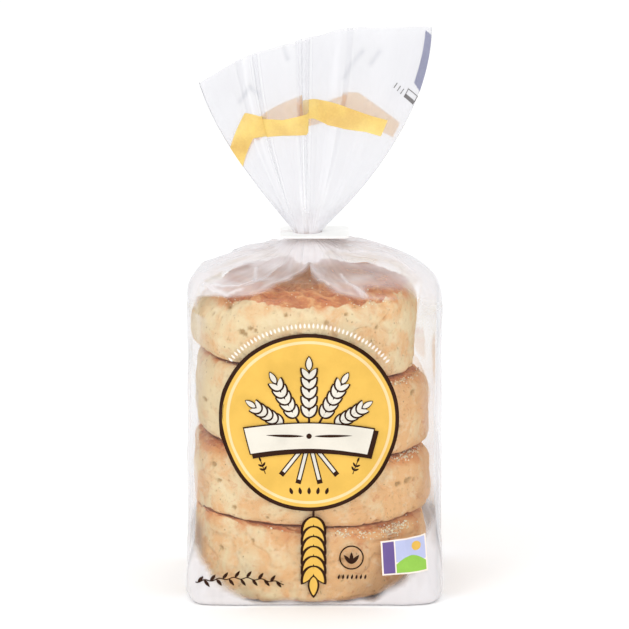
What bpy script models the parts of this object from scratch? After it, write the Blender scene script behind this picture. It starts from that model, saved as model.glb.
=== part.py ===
"""A clear bag of four English muffins, stacked, gathered at the neck and held by a flat clip.

Two solids, in metres, +Z up, the label side facing -Y, the origin on the floor under the middle:
bag   the closed bag out to its film: a body round the stack, a domed top, the neck and the fan above it
clip  the flat plastic clip, a plate with a hole and a throat, round the neck
"""

import math

import bmesh
import bpy
import numpy as np

# The stack inside, whose seams draw the film in
MUFFINS = 4
MUFFIN_PITCH = 0.0315

# The body of the bag: half its width and depth, and how square each level is (2 is an ellipse)
HALF_WIDTH = 0.0523
HALF_DEPTH = 0.0500
SQUARE_AT_BASE = 4.6
SQUARE_AT_TOP = 2.15
BASE_INSET = 0.0075
BASE_RISE = 0.0085
WAIST = 0.0009
WAIST_REACH = 0.0045

# The domed top, from the shoulder to the neck: a squarish quarter ellipse, with a small cone at the neck
SHOULDER_Z = 0.115
DOME_RISE = 0.0245
DOME_SQUARE = 2.5
CONE_RISE = 0.0041
CONE_REACH = 0.007

# The neck, and the pleats that run out of it
NECK_X = -0.003
NECK_RADIUS = 0.0055
NECK_LOW_Z = 0.1436
NECK_HIGH_Z = 0.1453
PLEATS = 12
PLEAT_DEPTH = 0.07

# The fan above the neck: its slanted, bowed top edge and how fast each side opens
FAN_LEFT_X = -0.0470
FAN_LEFT_Z = 0.2045
FAN_RIGHT_X = 0.0478
FAN_RIGHT_Z = 0.2285
FAN_BOW = 0.0080
FAN_HALF_THICK = 0.0042
FAN_WAVES = 2.5
FAN_WAVE_DEPTH = 0.0060
FAN_ROUND_LEFT = 0.5
FAN_ROUND_RIGHT = 1.0
FAN_BULGE_RIGHT = 0.12
FAN_FLATTEN = 0.4

# The clip: a plate with rounded corners, and a hole that opens to its left edge
CLIP_WIDTH = 0.028
CLIP_DEPTH = 0.022
CLIP_THICK = 0.0009
CLIP_LOW_Z = 0.1440
CLIP_HOLE_RADIUS = 0.0062
CLIP_THROAT = 0.0046
CLIP_CORNER = 0.0032
CORNER_STEPS = 6
HOLE_STEPS = 30

# How finely the bag is faceted
AROUND = 72
BASE_RINGS = 4
BODY_RINGS = 14
DOME_RINGS = 9
FAN_RINGS = 15

# The plain finishes, and the angle past which an edge is shown sharp
FILM_COLOUR = (0.93, 0.93, 0.95)
FILM_ROUGHNESS = 0.15
FILM_ALPHA = 0.35
CLIP_COLOUR = (0.93, 0.93, 0.91)
CLIP_ROUGHNESS = 0.4
SHARP_ANGLE = math.radians(40)


def clear_scene():
    for thing in list(bpy.data.objects):
        bpy.data.objects.remove(thing)


def finish(name, colour, roughness, alpha=1.0):
    """A plain material for a solid."""
    material = bpy.data.materials.new(name)
    material.use_nodes = True
    shader = material.node_tree.nodes["Principled BSDF"]
    shader.inputs["Base Color"].default_value = (*colour, 1)
    shader.inputs["Roughness"].default_value = roughness
    shader.inputs["Metallic"].default_value = 0.0
    shader.inputs["Alpha"].default_value = alpha
    return material


def signed_power(value, exponent):
    return np.sign(value) * np.abs(value) ** exponent


def body_ring(turn, z, scale=1.0, squareness=SQUARE_AT_TOP, centre_x=0.0):
    """One level of the body: a superellipse |x/a|^n + |y/b|^n = 1, where n is the squareness."""
    x = centre_x + scale * HALF_WIDTH * signed_power(np.cos(turn), 2 / squareness)
    y = scale * HALF_DEPTH * signed_power(np.sin(turn), 2 / squareness)
    return np.column_stack([x, y, np.full_like(turn, z)])


def waist(z):
    """How far the film draws in where one muffin meets the next."""
    seams = MUFFIN_PITCH * np.arange(1, MUFFINS)
    return WAIST * np.exp(-(((z - seams) / WAIST_REACH) ** 2)).sum()


def base_rings(turn):
    """The rounded edge between the flat bottom and the sides, a quarter turn of an ellipse."""
    for step in range(BASE_RINGS):
        angle = step / BASE_RINGS * math.pi / 2
        inset = BASE_INSET * (1 - math.sin(angle))
        yield body_ring(
            turn,
            BASE_RISE * (1 - math.cos(angle)),
            1 - inset / HALF_WIDTH,
            SQUARE_AT_BASE,
        )


def side_rings(turn):
    """The upright sides, squarer at the floor and rounder at the shoulder, drawn in at each seam."""
    for step in range(BODY_RINGS):
        share = step / BODY_RINGS
        z = BASE_RISE + share * (SHOULDER_Z - BASE_RISE)
        squareness = SQUARE_AT_TOP + (SQUARE_AT_BASE - SQUARE_AT_TOP) * (1 - share) ** 2
        yield body_ring(turn, z, 1 - waist(z) / HALF_WIDTH, squareness)


def dome_rings(turn):
    """The top closes on the neck: its height and its radius are powers of the sine and cosine of one angle.
    Its pleats are deeper the nearer they are to the neck."""
    last = math.acos((NECK_RADIUS / HALF_WIDTH) ** (DOME_SQUARE / 2))
    for step in range(DOME_RINGS):
        closed = step / (DOME_RINGS - 1)
        angle = closed * last
        scale = math.cos(angle) ** (2 / DOME_SQUARE)
        cone = CONE_RISE * math.exp((NECK_RADIUS - HALF_WIDTH * scale) / CONE_REACH)
        z = SHOULDER_Z + DOME_RISE * math.sin(angle) ** (2 / DOME_SQUARE) + cone
        ring = body_ring(turn, z, scale, centre_x=NECK_X * closed**2)
        middle = np.array([NECK_X * closed**2, 0, ring[0, 2]])
        pleats = 1 + PLEAT_DEPTH * closed**2 * (np.cos(PLEATS * turn) - 1)
        yield middle + (ring - middle) * pleats[:, None]


def neck_rings(turn):
    """Two round rings, below and above the clip."""
    for z in (NECK_LOW_Z + 0.0002, NECK_HIGH_Z):
        x = NECK_X + NECK_RADIUS * np.cos(turn)
        y = NECK_RADIUS * np.sin(turn)
        yield np.column_stack([x, y, np.full_like(turn, z)])


def opening(share, roundness):
    """How far a side of the fan has opened at a share of its height, from straight to a quarter sine."""
    return (1 - roundness) * share + roundness * math.sin(share * math.pi / 2)


def fan_rings(turn):
    """Level by level, a flat loop that widens from the neck to the slanted, bowed mouth.

    Each point runs from its place on the neck to its place on the mouth. The loop's middle waves
    to and fro in depth, which stands for the soft folds of the film.
    """
    across = np.cos(turn)
    mouth_x = (FAN_LEFT_X + FAN_RIGHT_X) / 2 + (FAN_RIGHT_X - FAN_LEFT_X) / 2 * across
    mouth_z = (FAN_LEFT_Z + FAN_RIGHT_Z) / 2 + (FAN_RIGHT_Z - FAN_LEFT_Z) / 2 * across
    mouth_z = mouth_z + FAN_BOW * (1 - across**2)
    neck_x = NECK_X + NECK_RADIUS * across
    for step in range(1, FAN_RINGS + 1):
        share = step / FAN_RINGS
        left, right = opening(share, FAN_ROUND_LEFT), opening(share, FAN_ROUND_RIGHT)
        right += FAN_BULGE_RIGHT * math.sin(math.pi * share) * (1 - share) ** 2
        opened = left + (right - left) * (across + 1) / 2
        x = neck_x + (mouth_x - neck_x) * opened
        z = NECK_HIGH_Z + (mouth_z - NECK_HIGH_Z) * share
        half_thick = NECK_RADIUS + (FAN_HALF_THICK - NECK_RADIUS) * share
        wave = FAN_WAVE_DEPTH * share * np.sin(math.pi * FAN_WAVES * across)
        y = half_thick * signed_power(np.sin(turn), 1 - FAN_FLATTEN * share) + wave
        yield np.column_stack([x, y, z])


def centred(points):
    """Moves the points sideways so that their box stands with its middle over the origin."""
    middle = (points.min(axis=0) + points.max(axis=0)) / 2
    return points - np.array([middle[0], middle[1], points[:, 2].min()])


def make_bag():
    """The rings joined by quads, with a flat bottom and a strip across the mouth."""
    turn = np.arange(AROUND) / AROUND * 2 * math.pi
    rings = [*base_rings(turn), *side_rings(turn), *dome_rings(turn), *neck_rings(turn), *fan_rings(turn)]
    points = centred(np.concatenate(rings))
    shape = bmesh.new()
    made = [shape.verts.new(point) for point in points]
    levels = [made[i : i + AROUND] for i in range(0, len(made), AROUND)]
    shape.faces.new(reversed(levels[0]))
    for low, high in zip(levels, levels[1:]):
        for i in range(AROUND):
            j = (i + 1) % AROUND
            shape.faces.new((low[i], low[j], high[j], high[i]))
    mouth = levels[-1]
    half = AROUND // 2
    shape.faces.new((mouth[0], mouth[1], mouth[-1]))
    for i in range(1, half - 1):
        shape.faces.new((mouth[i], mouth[i + 1], mouth[-i - 1], mouth[-i]))
    shape.faces.new((mouth[half - 1], mouth[half], mouth[half + 1]))
    bmesh.ops.triangulate(shape, faces=[face for face in shape.faces if len(face.verts) == 4])
    bmesh.ops.recalc_face_normals(shape, faces=shape.faces)
    return object_of(shape, "bag", finish("film", FILM_COLOUR, FILM_ROUGHNESS, FILM_ALPHA))


def arc(centre, radius, start, end, steps):
    """Points along a circle from one angle to another."""
    return [
        (centre[0] + radius * math.cos(angle), centre[1] + radius * math.sin(angle))
        for angle in np.linspace(start, end, steps)
    ]


def clip_outline():
    """The plate's outline, anticlockwise: four rounded corners, then in by the throat and round the hole."""
    half_w, half_d = CLIP_WIDTH / 2, CLIP_DEPTH / 2
    in_w, in_d = half_w - CLIP_CORNER, half_d - CLIP_CORNER
    quarter = math.pi / 2
    outline = []
    for sign_x, sign_y, start in ((-1, -1, 2), (1, -1, 3), (1, 1, 4), (-1, 1, 5)):
        corner = (sign_x * in_w, sign_y * in_d)
        outline += arc(corner, CLIP_CORNER, start * quarter, (start + 1) * quarter, CORNER_STEPS)
    lip = math.asin(CLIP_THROAT / 2 / CLIP_HOLE_RADIUS)
    outline.append((-half_w, CLIP_THROAT / 2))
    outline += arc((NECK_X, 0), CLIP_HOLE_RADIUS, math.pi - lip, lip - math.pi, HOLE_STEPS)
    outline.append((-half_w, -CLIP_THROAT / 2))
    return outline


def make_clip():
    """The outline filled and raised to the plate's thickness."""
    shape = bmesh.new()
    low = [shape.verts.new((x, y, CLIP_LOW_Z)) for x, y in clip_outline()]
    plate = shape.faces.new(low)
    raised = bmesh.ops.extrude_face_region(shape, geom=[plate])["geom"]
    top = [item for item in raised if isinstance(item, bmesh.types.BMVert)]
    bmesh.ops.translate(shape, vec=(0, 0, CLIP_THICK), verts=top)
    bmesh.ops.recalc_face_normals(shape, faces=shape.faces)
    return object_of(shape, "clip", finish("clip", CLIP_COLOUR, CLIP_ROUGHNESS))


def object_of(shape, name, material):
    mesh = bpy.data.meshes.new(name)
    shape.to_mesh(mesh)
    shape.free()
    mesh.materials.append(material)
    mesh.shade_smooth()
    mesh.set_sharp_from_angle(angle=SHARP_ANGLE)
    made = bpy.data.objects.new(name, mesh)
    bpy.context.scene.collection.objects.link(made)
    return made


clear_scene()
make_bag()
make_clip()
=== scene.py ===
"""A clear bag of four stacked English muffins, gathered above a flat clip, with a plain printed front.

It is laid out as an add-on and run as a script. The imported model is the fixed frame: the clip keeps its
mesh, and the bag's solid is replaced by its film, the print on it and the muffins inside it.
Lengths are in metres, +Z is up and the printed side faces -Y.
"""

import collections
import math

import bpy
import numpy as np
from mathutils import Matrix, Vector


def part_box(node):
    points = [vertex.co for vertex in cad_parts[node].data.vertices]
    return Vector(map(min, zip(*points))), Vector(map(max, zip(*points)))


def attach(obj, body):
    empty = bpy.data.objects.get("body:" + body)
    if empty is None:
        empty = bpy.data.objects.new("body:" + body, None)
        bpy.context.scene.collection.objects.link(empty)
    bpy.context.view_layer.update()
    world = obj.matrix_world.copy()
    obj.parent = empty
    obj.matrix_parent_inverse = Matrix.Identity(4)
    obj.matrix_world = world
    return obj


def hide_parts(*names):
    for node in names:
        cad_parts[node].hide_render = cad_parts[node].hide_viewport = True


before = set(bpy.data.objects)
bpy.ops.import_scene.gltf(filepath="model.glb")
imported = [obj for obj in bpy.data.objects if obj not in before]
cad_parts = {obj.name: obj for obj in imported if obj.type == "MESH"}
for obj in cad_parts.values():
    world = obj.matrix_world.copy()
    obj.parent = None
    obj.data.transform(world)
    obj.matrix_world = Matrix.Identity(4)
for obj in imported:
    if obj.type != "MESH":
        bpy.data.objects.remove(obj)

bl_info = {
    "name": "Muffin Bag",
    "version": (1, 0, 0),
    "blender": (4, 5, 0),
    "location": "View3D > Sidebar > Muffin Bag",
    "description": "A clear bag of four stacked English muffins with a plain printed front",
    "category": "Add Mesh",
}

BODY = "root"
BAG_HIGH = np.array(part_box("bag")[1])
CLIP_LOW, CLIP_HIGH = (np.array(corner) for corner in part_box("clip"))

# The bag's body, as the frame has it, with the film a little inside
FILM_INSET = 0.0002
HALF_WIDTH = BAG_HIGH[0] - FILM_INSET
HALF_DEPTH = BAG_HIGH[1]
SHOULDER_Z = 0.115
NECK_X = -0.003
NECK_RADIUS = 0.0058
NECK_PAST_CLIP = 0.0004
NECK_LOW_Z = CLIP_LOW[2] - NECK_PAST_CLIP
NECK_HIGH_Z = CLIP_HIGH[2] + NECK_PAST_CLIP
DOME_SQUARE = 2.5
DOME_RISE = 0.0245
DOME_RISE_USED = 0.95
DOME_CLIMB = math.acos((NECK_RADIUS / HALF_WIDTH) ** (DOME_SQUARE / 2))
CONE_RISE = NECK_LOW_Z - SHOULDER_Z - DOME_RISE * math.sin(DOME_CLIMB) ** (2 / DOME_SQUARE)
CONE_REACH = 0.007
FRONT = 1.5 * math.pi

# The fan above the neck: its two top corners, and how each side opens
FAN_LEFT = np.array([-0.0470, 0.2068])
FAN_RIGHT = np.array([0.0478, BAG_HIGH[2] - 0.0006])
FAN_BOW = 0.0078
FAN_ROUND_LEFT = 0.5
FAN_ROUND_RIGHT = 1.0
FAN_BULGE_RIGHT = 0.12


def linear(red, green, blue):
    """A screen colour from 0 to 255 as the linear colour that shaders take."""
    shares = np.array([red, green, blue]) / 255
    return tuple(np.where(shares <= 0.04045, shares / 12.92, ((shares + 0.055) / 1.055) ** 2.4))


def colour_setting(name, description, colour):
    return bpy.props.FloatVectorProperty(
        name=name, description=description, subtype="COLOR", size=3, min=0, max=1, default=linear(*colour)
    )


def length_setting(name, description, default):
    return bpy.props.FloatProperty(
        name=name, description=description, subtype="DISTANCE", unit="LENGTH", min=0, default=default
    )


def share_setting(name, description, default):
    return bpy.props.FloatProperty(
        name=name, description=description, subtype="FACTOR", min=0, max=1, default=default
    )


# ---------------------------------------------------------------- settings


class MuffinSettings(bpy.types.PropertyGroup):
    """The four muffins: their dough, their griddled crust and their surface."""

    dough: colour_setting("Dough", "The pale side of a muffin", (241, 221, 178))
    dough_warm: colour_setting("Warm dough", "The patches of the side that took more colour", (238, 190, 134))
    flour: colour_setting("Flour", "The palest patches of the side", (249, 235, 204))
    rim: colour_setting("Rim", "The tan edge where the side turns to the crust", (224, 150, 90))
    crust: colour_setting("Crust", "The griddled top and bottom", (208, 126, 80))
    crust_pale: colour_setting("Pale crust", "The lighter streaks of the crust", (236, 180, 124))
    scorch: colour_setting("Scorch", "The darkest spots of the crust", (160, 88, 58))
    bran: colour_setting("Bran", "The smudges of bran in the dough", (166, 134, 84))
    lumps: length_setting("Lumps", "How far the broad lumps stand out", 0.0011)
    wrinkles: length_setting("Wrinkles", "How deep the dough is creased", 0.0009)
    pits: length_setting("Pits", "How deep the open bubbles are", 0.0009)


class GrainSettings(bpy.types.PropertyGroup):
    """The cornmeal that sticks to the crusts, and the crumbs that fell off."""

    grains: bpy.props.IntProperty(name="Grains", description="The grains of cornmeal", default=560, min=1)
    grain_size: length_setting("Grain size", "The width of a large grain", 0.0009)
    crumbs: bpy.props.IntProperty(name="Crumbs", description="How many loose crumbs", default=90, min=1)
    crumb_size: length_setting("Crumb size", "The width of a large crumb", 0.0016)
    meal: colour_setting("Meal", "The colour of cornmeal", (255, 250, 222))
    meal_dark: colour_setting("Toasted meal", "The darker grains", (196, 132, 78))


class FilmSettings(bpy.types.PropertyGroup):
    """The clear film of the bag."""

    tint: colour_setting("Tint", "The milkiness where the film is gathered", (245, 244, 248))
    # The grey that is painted into the film's folds and creases: painted shade and reflections.
    crease: colour_setting("Creases", "The grey of the film's creases", (176, 180, 188))
    clear: share_setting("Clear haze", "How milky the film is where it lies on the muffins", 0.03)
    free: share_setting("Free haze", "How milky a layer of the free film is", 0.45)
    gathered: share_setting("Gathered haze", "How milky the film is at the neck", 0.9)
    gloss: share_setting("Gloss roughness", "The roughness of the film's shine", 0.13)
    wrinkle: length_setting("Wrinkles", "How far the upright wrinkles stand out", 0.0009)
    pleat: length_setting("Pleats", "How far the pleats of the top stand out", 0.0017)


class PrintSettings(bpy.types.PropertyGroup):
    """The inks on the bag."""

    yellow: colour_setting("Yellow", "The medallion and the ears", (231, 186, 88))
    band: colour_setting("Band", "The band across the fan", (250, 210, 122))
    band_back: colour_setting("Back band", "The band across the fan's back layer", (255, 198, 112))
    brown: colour_setting("Brown", "Outlines and shadows", (48, 22, 6))
    cream: colour_setting("Cream", "The banner and the wheat", (228, 222, 209))
    ring: colour_setting("Ring", "The thin inner ring", (250, 214, 160))
    white: colour_setting("White", "The dotted arc and the panel's border", (250, 238, 228))
    violet: colour_setting("Violet", "The panel's dark field", (112, 92, 150))
    sky: colour_setting("Pale blue", "The panel's light field", (190, 196, 230))
    green: colour_setting("Green", "The panel's hill", (150, 200, 84))
    grey: colour_setting("Grey", "The small marks at the mouth", (96, 92, 92))
    slate: colour_setting("Slate", "The strip at the mouth", (136, 138, 162))
    medallion: length_setting("Medallion", "The medallion's radius", 0.0366)


class ClipSettings(bpy.types.PropertyGroup):
    """The flat plastic clip."""

    plastic: colour_setting("Plastic", "The colour of the clip", (246, 246, 244))


class StageSettings(bpy.types.PropertyGroup):
    """The floor, the lights and the camera."""

    floor: colour_setting("Floor", "The colour of the floor", (254, 254, 254))
    daylight: bpy.props.FloatProperty(name="Daylight", description="The even light", default=0.95, min=0)
    key: bpy.props.FloatProperty(
        name="Key light", description="The power of the main lamp", unit="POWER", default=8, min=0
    )
    distance: length_setting("Distance", "From the camera to the bag", 3.0)
    elevation: bpy.props.FloatProperty(
        name="Elevation",
        description="How far the camera looks down",
        subtype="ANGLE",
        default=math.radians(12),
    )
    aim: length_setting("Aim", "The height that the camera looks at", 0.1102)
    view_width: length_setting("View width", "The width seen at the bag", 0.2567)


class BagSettings(bpy.types.PropertyGroup):
    """All the settings of the bag of muffins."""

    muffins: bpy.props.PointerProperty(type=MuffinSettings)
    grains: bpy.props.PointerProperty(type=GrainSettings)
    film: bpy.props.PointerProperty(type=FilmSettings)
    inks: bpy.props.PointerProperty(type=PrintSettings)
    clip: bpy.props.PointerProperty(type=ClipSettings)
    stage: bpy.props.PointerProperty(type=StageSettings)


# ---------------------------------------------------------------- noise


# Random numbers that whole-numbered points pick from
CHANCES = np.random.default_rng(5).random((4096, 4))


def chances(corner, seed):
    """Four repeatable numbers from 0 to 1 for each whole-numbered point, by multiplying and folding bits."""
    bits = corner[..., 0] * 374761393 + corner[..., 1] * 668265263 + corner[..., 2] * 1103515245
    bits = (bits + seed * 974634777) & 0xFFFFFFFF
    bits = ((bits ^ (bits >> 13)) * 1274126177) & 0xFFFFFFFF
    return CHANCES[(bits ^ (bits >> 16)) & 4095]


def together(*values):
    """Spreads the values over one another and makes points of them."""
    return np.stack(np.broadcast_arrays(*values), -1)


def noise(points, size, seed):
    """Smooth noise from about -1 to 1: random slopes at the corners of cubes of that size, eased between
    them."""
    scaled = np.asarray(points) / size + 1000.5
    corner = np.floor(scaled).astype(np.int64)
    inside = scaled - corner
    ease = inside**3 * (inside * (inside * 6 - 15) + 10)
    total = np.zeros(scaled.shape[:-1])
    for step in np.ndindex(2, 2, 2):
        slopes = chances(corner + step, seed)[..., :3] * 2 - 1
        weight = np.prod(np.where(step, ease, 1 - ease), axis=-1)
        total += weight * (slopes * (inside - step)).sum(-1)
    return total * 1.6


def layered(points, size, seed, layers=3):
    """Noise added to itself at half the size and half the strength, several times over."""
    return sum(noise(points, size / 2**k, seed + 17 * k) / 2**k for k in range(layers))


def ridges(points, size, seed):
    """Sharp crests from 0 to 1 where smooth noise crosses nought."""
    return 1 - np.clip(np.abs(noise(points, size, seed)) * 2.2, 0, 1)


def cells(points, size, seed):
    """The distance to the nearest of points scattered one to a cube, as a share of size, and its own number.
    They keep to the middle half of their cubes, so that the eight nearest cubes are enough."""
    scaled = np.asarray(points) / size + 1000
    corner = np.floor(scaled - 0.5).astype(np.int64)
    nearest = np.full(scaled.shape[:-1], 9.0)
    number = np.zeros(scaled.shape[:-1])
    for step in np.ndindex(2, 2, 2):
        at = corner + step
        spot = chances(at, seed)
        apart = ((at + 0.25 + 0.5 * spot[..., :3] - scaled) ** 2).sum(-1)
        closer = apart < nearest
        nearest = np.where(closer, apart, nearest)
        number = np.where(closer, spot[..., 3], number)
    return np.sqrt(nearest), number


def smooth(low, high, value):
    """From 0 below low to 1 above high, eased at both ends."""
    share = np.clip((value - low) / (high - low), 0, 1)
    return share * share * (3 - 2 * share)


def mix(first, second, share):
    return first + (second - first) * share


def bell(apart, width):
    """A bell curve exp(-(apart / width)^2): 1 in its middle, and near 0 from twice the width on."""
    return np.exp(-((apart / width) ** 2))


def turned(turn, radius=1.0, up=0.0):
    """Points round the axis, at a radius and a height for each direction."""
    return together(radius * np.cos(turn), radius * np.sin(turn), up)


# ---------------------------------------------------------------- meshes


def grid_faces(rows, columns, closed):
    """Quads that join each row of a grid to the next. A closed grid's last column meets its first."""
    low = np.arange(rows - 1)[:, None] * columns
    here = np.arange(columns if closed else columns - 1)[None, :]
    there = (here + 1) % columns
    return together(low + here, low + there, low + columns + there, low + columns + here).reshape(-1, 4)


def pole_faces(pole, first, columns, top):
    """Triangles from a pole to the ring of points that starts at first, facing up at the top or else down."""
    here = first + np.arange(columns)
    there = first + (np.arange(columns) + 1) % columns
    return together(pole, here, there) if top else together(pole, there, here)


def grid_map(rows, columns):
    """The flat map's place of each corner of a closed grid's quads, across and up from 0 to 1."""
    up = np.arange(rows - 1)[:, None] / (rows - 1)
    across = np.arange(columns)[None, :] / columns
    up, across = np.broadcast_arrays(up, across)
    next_up, next_across = up + 1 / (rows - 1), across + 1 / columns
    corners = [(across, up), (next_across, up), (next_across, next_up), (across, next_up)]
    return np.stack([np.stack(corner, -1) for corner in corners], -2).reshape(-1, 2)


def make_mesh(name, points, faces, material):
    """Makes a smooth-shaded object from points and a list of face arrays."""
    mesh = bpy.data.meshes.new(name)
    sizes = np.concatenate([np.full(len(part), part.shape[1]) for part in faces])
    corners = np.concatenate([part.ravel() for part in faces])
    mesh.vertices.add(len(points))
    mesh.vertices.foreach_set("co", np.asarray(points, np.float32).ravel())
    mesh.loops.add(len(corners))
    mesh.loops.foreach_set("vertex_index", corners.astype(np.int32))
    mesh.polygons.add(len(sizes))
    mesh.polygons.foreach_set("loop_start", (np.cumsum(sizes) - sizes).astype(np.int32))
    mesh.update(calc_edges=True)
    if mesh.validate():
        raise RuntimeError(f"{name} has faulty faces")
    mesh.shade_smooth()
    mesh.materials.append(material)
    made = bpy.data.objects.new(name, mesh)
    bpy.context.scene.collection.objects.link(made)
    return made


def put_mesh(name, points, faces, material, values=None, flat_map=None):
    """Makes a piece that rides with the bag, with values that its material reads at each point."""
    piece = make_mesh(name, points, faces, material)
    for key, value in (values or {}).items():
        attribute = piece.data.attributes.new(key, "FLOAT", "POINT")
        attribute.data.foreach_set("value", np.asarray(value, np.float32).ravel())
    if flat_map is not None:
        layer = piece.data.uv_layers.new(name="OFBake")
        layer.data.foreach_set("uv", np.asarray(flat_map, np.float32).ravel())
    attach(piece, BODY)
    return piece


# ---------------------------------------------------------------- shader maths


def sign(operation, swapped=False):
    """A method for one arithmetic sign, which adds a Math node."""

    def method(self, other):
        return self.maths(operation, *((other, self) if swapped else (self, other)))

    return method


class Wire:
    """A shader socket that arithmetic can be written with: each sign adds a Math node."""

    def __init__(self, graph, socket):
        self.graph = graph
        self.socket = socket

    def maths(self, operation, *values):
        inputs = dict(enumerate(values))
        return self.graph.node("ShaderNodeMath", {"operation": operation}, inputs)

    __add__ = sign("ADD")
    __radd__ = sign("ADD", True)
    __sub__ = sign("SUBTRACT")
    __rsub__ = sign("SUBTRACT", True)
    __mul__ = sign("MULTIPLY")
    __pow__ = sign("POWER")

    def above(self, low, high):
        """From 0 below low to 1 above high, eased. With low over high it falls instead."""
        settings = {"interpolation_type": "SMOOTHSTEP"}
        return self.graph.node("ShaderNodeMapRange", settings, {0: self, 1: low, 2: high, 3: 0.0, 4: 1.0})


class Graph:
    """A new material's node tree."""

    def __init__(self, name):
        self.material = bpy.data.materials.new(name)
        self.material.use_nodes = True
        self.tree = self.material.node_tree
        self.tree.nodes.clear()

    def node(self, kind, settings=None, inputs=None, output=0):
        """Adds any node: its settings first, then a value or a link for each socket, and gives one output."""
        made = self.tree.nodes.new(kind)
        for key, value in (settings or {}).items():
            if key == "stops":
                self.set_stops(made.color_ramp, value)
            else:
                setattr(made, key, value)
        for key, value in (inputs or {}).items():
            if isinstance(value, Wire):
                self.tree.links.new(value.socket, made.inputs[key])
            else:
                made.inputs[key].default_value = value
        return Wire(self, made.outputs[output]) if len(made.outputs) else None

    @staticmethod
    def set_stops(ramp, stops):
        for place, colour in stops[2:]:
            ramp.elements.new(place)
        for element, (place, colour) in zip(ramp.elements, stops):
            element.position = place
            element.color = (*colour, 1)

    def place(self, scale=(1, 1, 1)):
        """The piece's own coordinates in metres, stretched by a scale."""
        where = self.node("ShaderNodeTexCoord", output="Object")
        return self.node("ShaderNodeVectorMath", {"operation": "MULTIPLY"}, {0: where, 1: scale})

    def noise(self, where, size, detail=3.0, rough=0.55, warp=0.0):
        inputs = {"Vector": where, "Scale": 1 / size, "Detail": detail, "Roughness": rough}
        return self.node("ShaderNodeTexNoise", {}, {**inputs, "Distortion": warp})

    def specks(self, where, size, output="Distance"):
        return self.node("ShaderNodeTexVoronoi", {}, {"Vector": where, "Scale": 1 / size}, output)

    def value(self, name):
        return self.node("ShaderNodeAttribute", {"attribute_name": name}, output="Fac")

    def colours(self, share, first, second):
        """Two colours mixed by a share. A plain colour is a tuple of three."""
        pair = [c if isinstance(c, Wire) else (*c, 1) for c in (first, second)]
        return self.node("ShaderNodeMix", {"data_type": "RGBA"}, {0: share, 6: pair[0], 7: pair[1]}, 2)

    def ramp(self, share, stops):
        return self.node("ShaderNodeValToRGB", {"stops": stops}, {0: share})

    def bump(self, height, distance, strength=1.0):
        inputs = {"Height": height, "Distance": distance, "Strength": strength}
        return self.node("ShaderNodeBump", {}, inputs)

    def surface(self, colour, roughness, normal=None, **more):
        inputs = {"Base Color": colour, "Roughness": roughness}
        if not isinstance(colour, Wire):
            inputs["Base Color"] = (*colour, 1)
        if normal is not None:
            inputs["Normal"] = normal
        inputs.update({key.replace("_", " "): value for key, value in more.items()})
        return self.node("ShaderNodeBsdfPrincipled", {}, inputs)

    def blend_shaders(self, share, first, second):
        return self.node("ShaderNodeMixShader", {}, {0: share, 1: first, 2: second})

    def done(self, shader):
        self.node("ShaderNodeOutputMaterial", {}, {"Surface": shader})
        return self.material


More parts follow.
